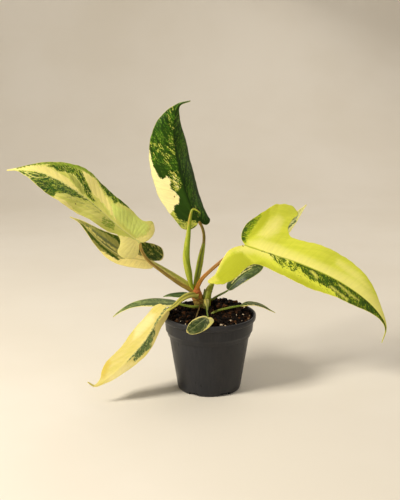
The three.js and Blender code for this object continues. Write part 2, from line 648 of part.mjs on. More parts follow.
// A leaf blade: veins fan from the midrib to the edge, and each half bends and waves as its leaf says.
// Swell makes it thicker, wider and longer behind, to clear its own stalk.
function blade(leaf, swell = 0) {
  const midrib = new Midrib(leaf.midrib, leaf.facing);
  const columns = leaf.small ? BLADE.smallColumns : BLADE.columns;
  const ridge = leaf.small ? BLADE.smallRidge : BLADE.ridge;
  const half = (leaf.small ? BLADE.smallThickness : BLADE.thickness) / 2 + swell;
  const rows = veinRows(leaf.veins, midrib.length, leaf.rows ?? BLADE.smallRows);
  const [height, wavelength, phase] = leaf.wave;
  const upper = [];
  const lower = [];
  const place = (side, start, endAlong, endAway, share) => {
    const growth = 1 + swell / endAway;
    const along = start - BLADE.backGrowth * swell + (endAlong - start) * growth * share ** BLADE.sweep;
    const away = endAway * growth * share;
    const { at, across, up } = midrib.frame(along);
    const lift = atPlace(leaf.lift, along / midrib.length);
    const angle = THREE.MathUtils.degToRad(side < 0 ? lift[1] : lift[3]);
    const curl = THREE.MathUtils.degToRad(side < 0 ? lift[2] : lift[4]) / 10;
    const bent = bend(away, angle, curl);
    const shift = phase + (side < 0 ? 0 : BLADE.waveShift);
    const wave = height * THREE.MathUtils.smoothstep(away, 0, BLADE.waveReach)
      * Math.sin((2 * Math.PI * along) / wavelength + shift);
    const point = at.addScaledVector(across, side * bent.across).addScaledVector(up, bent.up + wave);
    const lean = bent.angle * Math.min(1, away / BLADE.foldReach);
    const normal = up.clone().multiplyScalar(Math.cos(lean)).addScaledVector(across, -side * Math.sin(lean));
    const keel = share === 0 ? ridge * (1 - start / midrib.length) : 0;
    upper.push(point.clone().addScaledVector(normal, half));
    lower.push(point.clone().addScaledVector(normal, -half - keel));
  };
  for (const [start, leftAlong, leftAway, rightAlong, rightAway] of rows) {
    for (const share of [...columns].reverse()) place(-1, start, leftAlong, leftAway, share);
    for (const share of columns.slice(1)) place(1, start, rightAlong, rightAway, share);
  }
  const wide = 2 * columns.length - 1;
  const under = upper.length;
  const faces = [];
  const quad = (a, b, c, d) => faces.push(a, b, c, a, c, d);
  for (let i = 0; i < rows.length - 1; i++) {
    for (let k = 0; k < wide - 1; k++) {
      const a = i * wide + k;
      const flip = k < columns.length - 1;
      const [p, q, r, s] = flip ? [a, a + 1, a + 1 + wide, a + wide] : [a + 1, a + 1 + wide, a + wide, a];
      quad(p, q, r, s);
      quad(p + under, s + under, r + under, q + under);
    }
  }
  const wallBetween = (a, b) => quad(a, a + under, b + under, b);
  for (let i = 0; i < rows.length - 1; i++) {
    wallBetween((i + 1) * wide, i * wide);
    wallBetween(i * wide + wide - 1, (i + 1) * wide + wide - 1);
  }
  const lastRow = (rows.length - 1) * wide;
  for (let k = 0; k < wide - 1; k++) {
    wallBetween(k, k + 1);
    wallBetween(lastRow + k + 1, lastRow + k);
  }
  return solidOf(indexed([...upper, ...lower], faces));
}

// The pot: one moulding with a rolled lip, a collar, a rounded shoulder and a tapering wall.
function potProfile() {
  const { rimRadius, height, lipHeight, collarRadius, collarBottom, shoulderRadius, shoulderBottom } = POT;
  const { baseRadius, footRadius, footHeight, wall, floor } = POT;
  const lipBottom = height - lipHeight;
  const outside = [
    [0, 0],
    [footRadius, 0],
    [baseRadius, footHeight],
    [shoulderRadius, shoulderBottom],
    [shoulderRadius + 1.8, shoulderBottom + 2.2],
    [collarRadius - 1.3, collarBottom - 1.9],
    [collarRadius - 0.8, collarBottom],
    [collarRadius, lipBottom],
    [collarRadius + 1.3, lipBottom + 0.5],
    [rimRadius - 0.4, lipBottom + 2],
    [rimRadius, height - 2],
    [rimRadius - 0.7, height - 0.4],
  ];
  const inside = [
    [rimRadius - 2, height],
    [rimRadius - 2.9, height - 1.4],
    [collarRadius - wall, lipBottom],
    [collarRadius - 0.8 - wall, collarBottom],
    [shoulderRadius + 1.8 - wall, shoulderBottom + 2.2],
    [shoulderRadius - wall, shoulderBottom],
    [baseRadius - wall, floor + 1],
    [baseRadius - wall - 0.8, floor],
    [0, floor],
  ];
  return { outside, inside };
}

function pot() {
  const { outside, inside } = potProfile();
  const profile = [...outside, ...inside].map(([radius, z]) => new THREE.Vector2(radius, z));
  const turned = new THREE.LatheGeometry(profile, POT.segments);
  turned.rotateX(Math.PI / 2);
  let made = solidOf(turned);
  for (let i = 0; i < POT.slotCount; i++) {
    const depth = POT.baseRadius + 4 - POT.slotInnerRadius;
    const slot = new THREE.BoxGeometry(depth, POT.slotWidth, 2 * POT.slotHeight);
    slot.translate(POT.slotInnerRadius + depth / 2, 0, 0);
    slot.rotateZ((2 * Math.PI * i) / POT.slotCount);
    made = made.subtract(solidOf(slot));
  }
  return made;
}

// The soil's top: a low heap behind the middle, with crumbs as small hills where waves meet.
function soilTop(x, y) {
  const [cx, cy] = SOIL.moundCentre;
  const [sx, sy] = SOIL.moundSpread;
  const heap = SOIL.moundHeight * Math.exp(-(((x - cx) / sx) ** 2) - ((y - cy) / sy) ** 2);
  let crumbs = 0;
  for (const [alongX, alongY, phase, share] of SOIL.crumbWaves) {
    crumbs += share * Math.sin(alongX * x + alongY * y + phase);
  }
  return SOIL.edgeHeight + heap + SOIL.crumbHeight * crumbs;
}

function soil() {
  const { inside } = potProfile();
  const wallLine = inside.slice(2, -1).map(([radius, z]) => [radius - GAP, z]).reverse();
  wallLine[0][1] += GAP;
  const side = [...wallLine, [wallLine[wallLine.length - 1][0] + 0.4, SOIL.edgeHeight - 1.8]];
  const points = [];
  const ring = (radius, height) => {
    for (let k = 0; k < SOIL.sectors; k++) {
      const angle = (2 * Math.PI * k) / SOIL.sectors;
      const x = radius * Math.cos(angle);
      const y = radius * Math.sin(angle);
      points.push(new THREE.Vector3(x, y, height(x, y)));
    }
  };
  for (const [radius, z] of side) ring(radius * Math.cos(Math.PI / SOIL.sectors), () => z);
  const edge = side[side.length - 1][0];
  for (let i = 0; i < SOIL.rings; i++) {
    ring(edge * Math.cos(Math.PI / SOIL.sectors) * (1 - i / SOIL.rings), (x, y) => {
      const ease = Math.min(1, (i + 0.6) / 2);
      return THREE.MathUtils.lerp(SOIL.edgeHeight - 0.8, soilTop(x, y), ease);
    });
  }
  const rings = side.length + SOIL.rings;
  const bottom = points.push(new THREE.Vector3(0, 0, side[0][1])) - 1;
  const top = points.push(new THREE.Vector3(0, 0, soilTop(0, 0))) - 1;
  const faces = [];
  for (let i = 0; i < rings - 1; i++) {
    for (let k = 0; k < SOIL.sectors; k++) {
      const a = i * SOIL.sectors + k;
      const b = i * SOIL.sectors + ((k + 1) % SOIL.sectors);
      faces.push(a, b, b + SOIL.sectors, a, b + SOIL.sectors, a + SOIL.sectors);
    }
  }
  for (let k = 0; k < SOIL.sectors; k++) {
    const next = (k + 1) % SOIL.sectors;
    const last = (rings - 1) * SOIL.sectors;
    faces.push(bottom, next, k, top, last + k, last + next);
  }
  return solidOf(indexed(points, faces));
}

// Assembly
const plant = new THREE.Group();
plant.name = "potted_philodendron";

function addPiece(name, solid, colour, roughness, metalness = 0) {
  const material = new THREE.MeshStandardMaterial({ color: COLOURS[colour], roughness, metalness });
  const mesh = new THREE.Mesh(geometryOf(solid), material);
  mesh.name = name;
  plant.add(mesh);
}

// What already stands, each a gap thicker, so that the next piece stops just short of it.
const standing = [];
function stopShortOf(solid, others) {
  return largest(others.reduce((left, other) => left.subtract(other), solid));
}

addPiece("pot", pot(), "pot", 0.5);

addPiece("stem_main", stalk(STEM), "stem", 0.7);
standing.push(stalk(STEM, GAP));
addPiece("stem_side", stopShortOf(stalk(SIDE_STEM), standing), "sideStem", 0.6);
standing.push(stalk(SIDE_STEM, GAP));

// What stands in the soil, each in a plain hole a gap wider.
const rooted = [...standing];

addPiece("new_leaf_spike", stopShortOf(stalk(SPIKE), standing), "spike", 0.4);
standing.push(stalk(SPIKE, GAP));

for (const [name, leaf] of Object.entries(LEAVES)) {
  const petiole = { ...leaf.stalk, steps: Math.round(RINGS_A_POINT * leaf.stalk.points.length) };
  const free = stopShortOf(stalk(petiole), [blade(leaf, GAP), ...standing]);
  addPiece(name, blade(leaf), leaf.colour, 0.35);
  addPiece(name.replace("leaf", "petiole"), free, leaf.stalk.colour, 0.5);
  standing.push(stalk(petiole, GAP));
  rooted.push(stalk(petiole, GAP));
}

addPiece("bud_small", stopShortOf(stalk(BUD), standing), "spike", 0.6);
addPiece("aerial_root", stopShortOf(stalk(ROOT), standing), "root", 0.8);
rooted.push(stalk(BUD, GAP));
rooted.push(stalk(ROOT, GAP));

addPiece("soil", stopShortOf(soil(), rooted), "soil", 1);

export default plant;
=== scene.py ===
"""The looks of a young variegated philodendron in its nursery pot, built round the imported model.

Shapes are worked out in millimetres and handed to Blender in metres. +Z is up, the origin is the
middle of the pot's underside, and the plant's best side looks along -Y.
"""

import logging
import math
import random
from collections.abc import Sequence
from dataclasses import dataclass, field
from enum import Enum

import bmesh
import bpy
import numpy as np
from mathutils import Matrix, Vector, noise


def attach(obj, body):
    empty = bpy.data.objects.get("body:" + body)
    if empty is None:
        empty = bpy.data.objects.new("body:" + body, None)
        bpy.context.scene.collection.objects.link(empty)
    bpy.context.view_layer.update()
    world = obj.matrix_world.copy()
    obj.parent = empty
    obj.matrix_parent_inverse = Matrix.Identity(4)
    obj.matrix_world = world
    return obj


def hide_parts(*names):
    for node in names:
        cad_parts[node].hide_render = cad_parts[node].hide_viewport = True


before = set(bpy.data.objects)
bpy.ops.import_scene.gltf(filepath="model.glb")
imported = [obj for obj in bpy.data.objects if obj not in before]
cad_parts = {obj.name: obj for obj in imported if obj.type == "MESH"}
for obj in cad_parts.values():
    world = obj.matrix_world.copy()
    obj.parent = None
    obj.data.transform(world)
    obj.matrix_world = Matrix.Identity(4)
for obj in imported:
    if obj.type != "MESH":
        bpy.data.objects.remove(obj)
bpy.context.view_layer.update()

LOG = logging.getLogger("philodendron")

MM = 0.001
TURN = 2 * math.pi
FINE = 480  # samples along a curve that is measured

Array = np.ndarray
Readings = dict[str, Array]  # what a mesh says at each vertex, by name
Rows = Sequence[Sequence[float]]
Triple = tuple[float, float, float]
Colour = tuple[int, int, int]  # as displayed, 0 to 255 a channel
Socket = bpy.types.NodeSocket
Input = Socket | float | Triple | Colour  # what can go into a socket


# Curves and numbers

def linear(colour: Colour) -> Triple:
    """A display colour as the renderer's linear one."""
    shares = (channel / 255 for channel in colour)
    return tuple(c / 12.92 if c < 0.0405 else ((c + 0.055) / 1.055) ** 2.4 for c in shares)


def unit(vectors: Array) -> Array:
    """Vectors scaled to length one."""
    return vectors / np.maximum(1e-9, np.linalg.norm(vectors, axis=-1, keepdims=True))


def eased(values: Array, low: float, high: float) -> Array:
    """0 below low, 1 above high and a smooth S between them."""
    share = np.clip((values - low) / (high - low), 0, 1)
    return share * share * (3 - 2 * share)


def hump(values: Array, width: float | Array) -> Array:
    """1 at 0 and about a third at the width on either side, along a bell curve."""
    return np.exp(-((values / width) ** 2))


def smooth_path(points: Rows, count: int) -> Array:
    """Samples of a smooth curve through points, without loops where they crowd.

    Args:
        points: the curve's points, of any dimension.
        count: how many samples, evenly spaced in the curve's own parameter.

    Returns:
        An array of count rows.
    """
    given = np.asarray(points, float)
    last = len(given) - 1
    padded = np.vstack([2 * given[0] - given[1], given, 2 * given[-1] - given[-2]])
    gaps = np.sqrt(np.maximum(1e-4, np.linalg.norm(np.diff(padded, axis=0), axis=1)))
    place = np.linspace(0, last, count)
    index = np.minimum(place.astype(int), last - 1)
    share = (place - index)[:, None]
    p0, p1, p2, p3 = (padded[index + k] for k in range(4))
    d0, d1, d2 = (gaps[index + k][:, None] for k in range(3))
    leave = ((p1 - p0) / d0 - (p2 - p0) / (d0 + d1) + (p2 - p1) / d1) * d1
    arrive = ((p2 - p1) / d1 - (p3 - p1) / (d1 + d2) + (p3 - p2) / d2) * d1
    square = -3 * p1 + 3 * p2 - 2 * leave - arrive
    cube = 2 * p1 - 2 * p2 + leave + arrive
    return p1 + leave * share + square * share**2 + cube * share**3


def added_up(steps: Array) -> Array:
    """How far each place is from the first one, given the steps between them."""
    return np.concatenate([[0], np.cumsum(steps)])


def strides(points: Array) -> Array:
    """The distance from each point to the next."""
    return np.linalg.norm(np.diff(points, axis=0), axis=1)


def read_at(places: Array, known: Array, table: Array) -> Array:
    """Rows of a table at other places than the known ones, by straight lines between them."""
    return np.stack([np.interp(places, known, column) for column in table.T], -1)


def soft_noise(points: Array, wavelength: float, seed: float) -> Array:
    """Smooth noise of about -1 to 1 at flat places in mm.

    Args:
        points: places, two numbers each.
        wavelength: the distance over which it changes, in mm.
        seed: shifts the pattern.

    Returns:
        One number for each place.
    """
    places = np.column_stack([points / wavelength, np.zeros(len(points))]) + seed
    return np.array([noise.noise(Vector(place)) for place in places])


def inside_distance(places: Array, outline: Sequence[tuple[float, float]]) -> Array:
    """How deep each place lies inside a closed outline.

    Args:
        places: an array of flat places, two numbers each.
        outline: the corners in order.

    Returns:
        Distances to the outline, above 0 inside it and below 0 outside.
    """
    corners = np.asarray(outline, float)
    nearest = np.full(len(places), np.inf)
    inside = np.zeros(len(places), bool)
    for a, b in zip(corners, np.roll(corners, -1, axis=0)):
        edge = b - a
        share = np.clip(((places - a) @ edge) / max(1e-9, edge @ edge), 0, 1)
        nearest = np.minimum(nearest, np.linalg.norm(places - a - share[:, None] * edge, axis=1))
        rising = (a[1] > places[:, 1]) != (b[1] > places[:, 1])
        slope = edge[0] / edge[1] if abs(edge[1]) > 1e-9 else 0.0
        inside ^= rising & (places[:, 0] < a[0] + (places[:, 1] - a[1]) * slope)
    return np.where(inside, nearest, -nearest)


# Meshes

def grid_faces(rows: int, columns: int, around: bool = False) -> Array:
    """Four-cornered faces of a grid of vertices.

    Args:
        rows: vertices one way.
        columns: vertices the other way.
        around: whether each row closes on itself.

    Returns:
        One row of four vertex numbers for each face.
    """
    i, k = np.meshgrid(np.arange(rows - 1), np.arange(columns if around else columns - 1), indexing="ij")
    here, after = i * columns + k, i * columns + (k + 1) % columns
    return np.stack([here, after, after + columns, here + columns], -1).reshape(-1, 4)


def closed_faces(rings: int, sides: int) -> list[list[int]]:
    """Faces of a stack of rings, with one face over each end."""
    ends = [list(range(sides))[::-1], list(range((rings - 1) * sides, rings * sides))]
    return grid_faces(rings, sides, around=True).tolist() + ends


def add_object(name: str, data: bpy.types.ID) -> bpy.types.Object:
    """A new object in the scene, made of a mesh, a light or a camera."""
    made = bpy.data.objects.new(name, data)
    bpy.context.scene.collection.objects.link(made)
    return made


def make_piece(
    name: str,
    points: Array,
    faces: list[list[int]],
    material: bpy.types.Material,
    readings: Readings | None = None,
    sharp: float | None = None,
) -> bpy.types.Object:
    """A smooth-shaded mesh object.

    Args:
        name: the piece's name.
        points: vertices in mm.
        faces: vertex numbers of each face.
        material: its finish.
        readings: numbers or triples at each vertex that the finish reads.
        sharp: the angle in degrees from which an edge stays sharp.

    Returns:
        The object, linked to the scene.
    """
    mesh = bpy.data.meshes.new(name)
    mesh.from_pydata((np.asarray(points) * MM).tolist(), [], faces)
    shell = bmesh.new()
    shell.from_mesh(mesh)
    bmesh.ops.recalc_face_normals(shell, faces=shell.faces)
    shell.to_mesh(mesh)
    shell.free()
    for key, values in (readings or {}).items():
        kind, socket = ("FLOAT_VECTOR", "vector") if values.ndim == 2 else ("FLOAT", "value")
        attribute = mesh.attributes.new(key, kind, "POINT")
        attribute.data.foreach_set(socket, values.astype(np.float32).ravel())
    mesh.shade_smooth()
    if sharp is not None:
        mesh.set_sharp_from_angle(angle=math.radians(sharp))
    mesh.materials.append(material)
    return add_object(name, mesh)


def dress(piece: bpy.types.Object, slot: str, *nodes: str) -> None:
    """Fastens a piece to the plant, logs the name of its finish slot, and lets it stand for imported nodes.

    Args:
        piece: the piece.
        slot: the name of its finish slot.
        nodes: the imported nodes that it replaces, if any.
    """
    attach(piece, "root")
    if nodes:
        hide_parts(*nodes)
    LOG.info("%s: %d vertices, slot %s", piece.name, len(piece.data.vertices), slot)


# Finishes

class Graph:
    """A material's nodes, added one at a time and joined by their sockets."""

    def __init__(self, name: str) -> None:
        """Starts an empty material.

        Args:
            name: its name.
        """
        self.material = bpy.data.materials.new(name)
        self.material.use_nodes = True
        self.tree = self.material.node_tree
        self.tree.nodes.clear()

    def add(self, kind: str, inputs: dict[int | str, Input], out: int | str = 0, **settings: str) -> Socket:
        """Adds a node.

        Args:
            kind: its type, without the word Shader and the word Node.
            inputs: another node's socket, a number, a place or a colour for each of its sockets.
            out: the name or number of the socket that is wanted.
            settings: its other settings.

        Returns:
            The wanted socket.
        """
        node = self.tree.nodes.new("ShaderNode" + kind)
        for key, value in settings.items():
            setattr(node, key, value)
        for key, value in inputs.items():
            socket = node.inputs[key]
            if isinstance(value, Socket):
                self.tree.links.new(value, socket)
            else:
                socket.default_value = (*linear(value), 1.0) if socket.type == "RGBA" else value
        return node.outputs[out]

    def reading(self, name: str, out: str = "Fac") -> Socket:
        """What the mesh says at a place under that name."""
        return self.add("Attribute", {}, out, attribute_name=name)

    def place(self) -> Socket:
        """The place on the object, in metres."""
        return self.add("TexCoord", {}, "Object")

    def plus(self, a: Input, b: Input) -> Socket:
        """The sum of two numbers."""
        return self.add("Math", {0: a, 1: b}, operation="ADD")

    def times(self, a: Input, b: Input) -> Socket:
        """The product of two numbers."""
        return self.add("Math", {0: a, 1: b}, operation="MULTIPLY")

    def stretch(self, vector: Input, scale: Triple, shift: Triple = (0, 0, 0)) -> Socket:
        """A place multiplied and shifted on each axis."""
        return self.add("Mapping", {"Vector": vector, "Scale": scale, "Location": shift})

    def grain(
        self,
        vector: Input,
        scale: Triple,
        shift: Triple = (0, 0, 0),
        detail: float = 3.0,
        rough: float = 0.55,
        warp: float = 0.0,
    ) -> Socket:
        """Smooth noise from 0 to 1, most of it near one half, at a place that is stretched first."""
        inputs = {"Vector": self.stretch(vector, scale, shift), "Scale": 1.0, "Detail": detail}
        return self.add("TexNoise", inputs | {"Roughness": rough, "Distortion": warp}, "Fac")

    def wander(self, vector: Input, scale: float, amount: float) -> Socket:
        """A place pushed about by smooth noise of that scale, up to about that amount."""
        push = self.add("TexNoise", {"Vector": vector, "Scale": scale, "Detail": 2.0}, "Color")
        return self.add("VectorMath", {0: push, 1: (amount,) * 3, 2: vector}, operation="MULTIPLY_ADD")

    def cells(self, vector: Input) -> list[Socket]:
        """Three random numbers from 0 to 1 for each of many crowded cells one unit wide."""
        colour = self.add("TexVoronoi", {"Vector": vector, "Scale": 1.0}, "Color")
        return list(self.add("SeparateColor", {0: colour}).node.outputs)

    def between(self, value: Input, low: float, high: float, start: float = 0.0, end: float = 1.0) -> Socket:
        """A number taken from low..high to start..end along a smooth S."""
        inputs = {"Value": value, "From Min": low, "From Max": high, "To Min": start, "To Max": end}
        return self.add("MapRange", inputs, interpolation_type="SMOOTHSTEP")

    def dim(self, colour: Input, factor: Input) -> Socket:
        """A colour, linear if it is no socket, made darker or lighter by a factor."""
        return self.add("VectorMath", {0: colour, "Scale": factor}, operation="SCALE")

    def mix(self, share: Input, under: Input, over: Input) -> Socket:
        """One colour over another by a share."""
        return self.add("Mix", {0: share, 6: under, 7: over}, 2, data_type="RGBA")

    def bumped(self, height: Input, distance: float, strength: float = 1.0) -> Socket:
        """A surface direction tilted by a height pattern of that depth, in metres."""
        return self.add("Bump", {"Height": height, "Distance": distance, "Strength": strength})

    def finish(self, **sockets: Input) -> bpy.types.Material:
        """Closes the material with one shader.

        Args:
            sockets: the shader's sockets by name, with underscores for spaces.

        Returns:
            The material.
        """
        shader = self.add("BsdfPrincipled", {key.replace("_", " "): value for key, value in sockets.items()})
        output = self.tree.nodes.new("ShaderNodeOutputMaterial")
        self.tree.links.new(shader, output.inputs["Surface"])
        return self.material


class Tone(Enum):
    """The tones that a leaf is marked with."""

    LIME = "lime"
    SAGE = "sage"
    CREAM = "cream"
    DARK = "dark"
    FLECK = "fleck"
    PALE = "pale"
    SPOT = "spot"


LIME, SAGE, CREAM, DARK, FLECK, PALE, SPOT = Tone


class Side(Enum):
    """Which half of a leaf a mark keeps to, as seen from above with the tip ahead."""

    BOTH = 0
    LEFT = -1
    RIGHT = 1


@dataclass(frozen=True)
class Mark:
    """A patch of one tone on a leaf.

    Attributes:
        tone: which of the leaf's tones it has.
        outline: its corners in mm along the midrib and away from it, right above 0.
        cover: how deep inside the patch any place counts at most; below 0 only specks of it show.
        side: the half of the leaf that it keeps to, with a clean edge at the midrib.
    """

    tone: Tone
    outline: tuple[tuple[float, float], ...]
    cover: float = 30.0
    side: Side = Side.BOTH

    OUTSIDE = 1.6  # how fast a patch gives out beyond its outline
    CLEAN_EDGE = 0.05
    OTHER_HALF = -20.0

    def depth(self, places: Array) -> Array:
        """How deep in the patch flat places lie.

        Args:
            places: distances along and away from the midrib.

        Returns:
            Depths in mm, below 0 outside.
        """
        inside = inside_distance(places, self.outline)
        depths = np.minimum(np.where(inside < 0, self.OUTSIDE * inside, inside), self.cover)
        other = (self.side is not Side.BOTH) & (places[:, 1] * self.side.value < self.CLEAN_EDGE)
        return np.where(other, self.OTHER_HALF, depths)


@dataclass(frozen=True)
class Layer:
    """How one tone is laid on a leaf.

    Attributes:
        tone: which tone.
        colour: its colour.
        stray: how far its edge strays from the outline; 1 is a few mm.
        soft: half the width of that edge, in mm.
        lively: how much its brightness changes inside.
        fleck: the colour of small specks in it, if it has any.
        flecks: the share of it that they cover.
    """

    tone: Tone
    colour: Colour
    stray: float = 1.0
    soft: float = 0.25
    lively: float = 0.08
    fleck: Colour | None = None
    flecks: float = 0.2

    STRAYS = (5.0, 1.8, 1.5)  # how far patches, large cells and small cells move the edge, in mm
    FLECK_EDGE = 0.03

    def lay(self, graph: Graph, under: Input, mosaic: list[Socket], flow: Socket, shift: Triple) -> Socket:
        """Lays the tone over the colour so far.

        Args:
            graph: the material's nodes.
            under: the colour so far.
            mosaic: a random number for each large cell, and one for each small cell.
            flow: the place across and along lines that run from the midrib to the tip and the margin.
            shift: moves this layer's patches.

        Returns:
            The new colour.
        """
        patches = graph.grain(flow, (0.19, 0.1, 0), shift, detail=5, rough=0.62)
        large, small = mosaic
        edge = graph.reading(self.tone.value)
        for pattern, size in zip((patches, large, small), self.STRAYS):
            edge = graph.plus(edge, graph.times(graph.plus(pattern, -0.5), size * self.stray))
        bright = graph.between(large, 0.0, 1.0, 1 - self.lively, 1 + self.lively)
        colour = graph.dim(linear(self.colour), bright)
        if self.fleck is not None:
            specks = graph.plus(small, graph.between(patches, 0.35, 0.65, -0.25, 0.25))
            plain = 1 - self.flecks
            share = graph.between(specks, plain - self.FLECK_EDGE, plain + self.FLECK_EDGE)
            colour = graph.mix(share, colour, self.fleck)
        return graph.mix(graph.between(edge, -self.soft, self.soft), under, colour)


@dataclass(frozen=True)
class LeafFinish:
    """A leaf's skin: a ground of two tones, layers with ragged edges along the veins, and a pale rim."""

    name: str
    slot: str
    ground: Colour
    shade: Colour
    layers: tuple[Layer, ...]
    rim: Colour = (236, 226, 130)
    rim_width: float = 0.6
    rib: Colour = (150, 160, 70)
    rib_share: float = 0.8
    under: Colour = (170, 180, 96)
    under_share: float = 0.45
    roughness: float = 0.4
    gloss: float = 0.24
    glow: float = 0.2
    grain: float = 1.0
    vein_depth: float = 0.1
    seed: float = 0.0

    LAYER_SHIFT = 3.7

    def material(self) -> bpy.types.Material:
        """The skin as a material."""
        graph = Graph(self.name)
        veins, flow = graph.reading("veins", "Vector"), graph.reading("flow", "Vector")
        under = graph.reading("under")
        shift = (self.seed, 0.7 * self.seed, 1.3 * self.seed)
        broad = graph.grain(flow, (0.03, 0.05, 0.24), shift, detail=4, rough=0.6)
        fine = graph.grain(veins, (0.9, 0.07, 0), shift, rough=0.6)
        place = graph.wander(graph.stretch(flow, (1, 1, 0), shift), 0.4, 1.8)
        large, small = (graph.cells(graph.stretch(place, size)) for size in ((0.55, 0.3, 0), (1.3, 0.8, 0)))
        colour = graph.mix(graph.between(broad, 0.36, 0.64), self.ground, self.shade)
        for number, layer in enumerate(self.layers):
            shift = tuple(self.seed + self.LAYER_SHIFT * number + k for k in (0, 5, 9))
            colour = layer.lay(graph, colour, [large[number % 3], small[number % 3]], flow, shift)
        lines = graph.between(fine, 0.3, 0.7, 1 - 0.07 * self.grain, 1 + 0.05 * self.grain)
        colour = graph.dim(colour, lines)
        colour = graph.dim(colour, graph.between(graph.reading("vein"), 0.15, 0.6, 1 - self.vein_depth))
        rim = graph.plus(graph.reading("margin"), graph.times(fine, 0.5))
        rim = graph.between(rim, 0.6 * self.rim_width, 1.5 * self.rim_width, 0.85, 0.0)
        colour = graph.mix(rim, colour, self.rim)
        rib = graph.between(graph.reading("rib"), 0.25, 0.7, self.rib_share, 0.0)
        colour = graph.mix(rib, colour, self.rib)
        colour = graph.mix(graph.times(under, self.under_share), colour, self.under)
        rough = graph.between(fine, 0.25, 0.75, self.roughness - 0.04, self.roughness + 0.06)
        pores = graph.grain(graph.place(), (1500,) * 3, detail=2)
        height = graph.plus(graph.times(fine, 0.5), graph.times(pores, 0.2))
        return graph.finish(
            Base_Color=colour,
            Roughness=graph.plus(rough, graph.times(under, 0.15)),
            Normal=graph.bumped(height, 0.0001, 0.5),
            Subsurface_Weight=self.glow,
            Subsurface_Radius=(1.0, 1.0, 0.25),
            Subsurface_Scale=0.0007,
            Specular_IOR_Level=self.gloss,
        )


@dataclass(frozen=True)
class StalkFinish:
    """A stalk's skin: fine lengthwise lines, and colours for the foot, the top and the lower side."""

    name: str
    foot: Colour
    top: Colour
    low: Colour
    line: Colour
    slot: str = "green_stalk_skin"
    low_share: float = 0.6
    roughness: float = 0.42
    middle: float = 0.5
    spread: float = 0.5

    def material(self) -> bpy.types.Material:
        """The skin as a material."""
        graph = Graph(self.name)
        around = graph.reading("around", "Vector")
        drift = graph.grain(around, (0.3, 0.3, 0.09))
        lines = graph.grain(around, (3.2, 3.2, 0.3), detail=4, rough=0.65)
        level = graph.plus(graph.reading("share"), graph.between(drift, 0.3, 0.7, -0.2, 0.2))
        level = graph.between(level, self.middle - self.spread, self.middle + self.spread)
        low = graph.plus(graph.reading("turn"), graph.between(drift, 0.3, 0.7, -0.3, 0.3))
        colour = graph.mix(level, self.foot, self.top)
        colour = graph.mix(graph.between(low, -0.55, 0.35, self.low_share, 0.0), colour, self.low)
        colour = graph.mix(graph.between(lines, 0.5, 0.72, 0.0, 0.5), colour, self.line)
        colour = graph.mix(graph.times(graph.reading("furrow"), 0.85), colour, self.line)
        pale = graph.grain(graph.place(), (900, 900, 500), detail=2)
        return graph.finish(
            Base_Color=graph.dim(colour, graph.between(pale, 0.25, 0.75, 0.92, 1.06)),
            Roughness=graph.between(lines, 0.3, 0.7, self.roughness - 0.06, self.roughness + 0.1),
            Normal=graph.bumped(lines, 0.0002, 0.6),
            Subsurface_Weight=0.15,
            Subsurface_Radius=(1.0, 0.9, 0.3),
            Subsurface_Scale=0.0008,
            Specular_IOR_Level=0.4,
        )


@dataclass(frozen=True)
class BarkFinish:
    """The old stem: tan skin with dark ring scars and flakes, and an orange-red crown."""

    name: str
    skin: Colour
    scar: Colour
    crown: Colour
    slot: str = "stem_skin"

    def material(self) -> bpy.types.Material:
        """The skin as a material."""
        graph = Graph(self.name)
        around = graph.reading("around", "Vector")
        flakes = graph.grain(around, (0.9, 0.9, 1.6), detail=5, rough=0.7)
        threads = graph.grain(around, (5, 5, 0.7))
        colour = graph.mix(graph.between(flakes, 0.4, 0.62), self.skin, self.scar)
        colour = graph.mix(graph.between(threads, 0.55, 0.75, 0.0, 0.6), colour, self.scar)
        colour = graph.mix(graph.between(graph.reading("scar"), 0.2, 0.8, 0.0, 0.75), colour, self.scar)
        top = graph.plus(graph.reading("share"), graph.between(flakes, 0.3, 0.7, -0.12, 0.12))
        return graph.finish(
            Base_Color=graph.mix(graph.between(top, 0.5, 0.72), colour, self.crown),
            Roughness=graph.between(flakes, 0.3, 0.7, 0.5, 0.8),
            Normal=graph.bumped(graph.plus(flakes, graph.times(threads, 0.5)), 0.0006),
            Subsurface_Weight=0.08,
            Subsurface_Radius=(1.0, 0.5, 0.25),
            Subsurface_Scale=0.001,
        )


@dataclass(frozen=True)
class PotFinish:
    """Dark moulded plastic with faint upright drawing marks and a little dust."""

    name: str
    plastic: Colour
    worn: Colour
    dust: Colour
    roughness: float = 0.36

    def material(self) -> bpy.types.Material:
        """The plastic as a material."""
        graph = Graph(self.name)
        streaks = graph.grain(graph.place(), (420, 420, 9), detail=4, rough=0.6)
        cloud = graph.grain(graph.place(), (28, 28, 22), detail=5, rough=0.62)
        speck = graph.grain(graph.place(), (1500,) * 3, detail=2)
        colour = graph.mix(graph.between(streaks, 0.35, 0.7), self.plastic, self.worn)
        dusty = graph.times(graph.between(cloud, 0.45, 0.75), graph.between(speck, 0.5, 0.72, 0.1, 0.5))
        rough = graph.between(cloud, 0.3, 0.7, self.roughness - 0.07, self.roughness + 0.12)
        height = graph.plus(graph.times(streaks, 0.6), graph.times(speck, 0.4))
        return graph.finish(
            Base_Color=graph.mix(dusty, colour, self.dust),
            Roughness=graph.plus(rough, graph.between(streaks, 0.3, 0.7, -0.05, 0.05)),
            Normal=graph.bumped(height, 0.00018, 0.5),
            Specular_IOR_Level=0.25,
        )


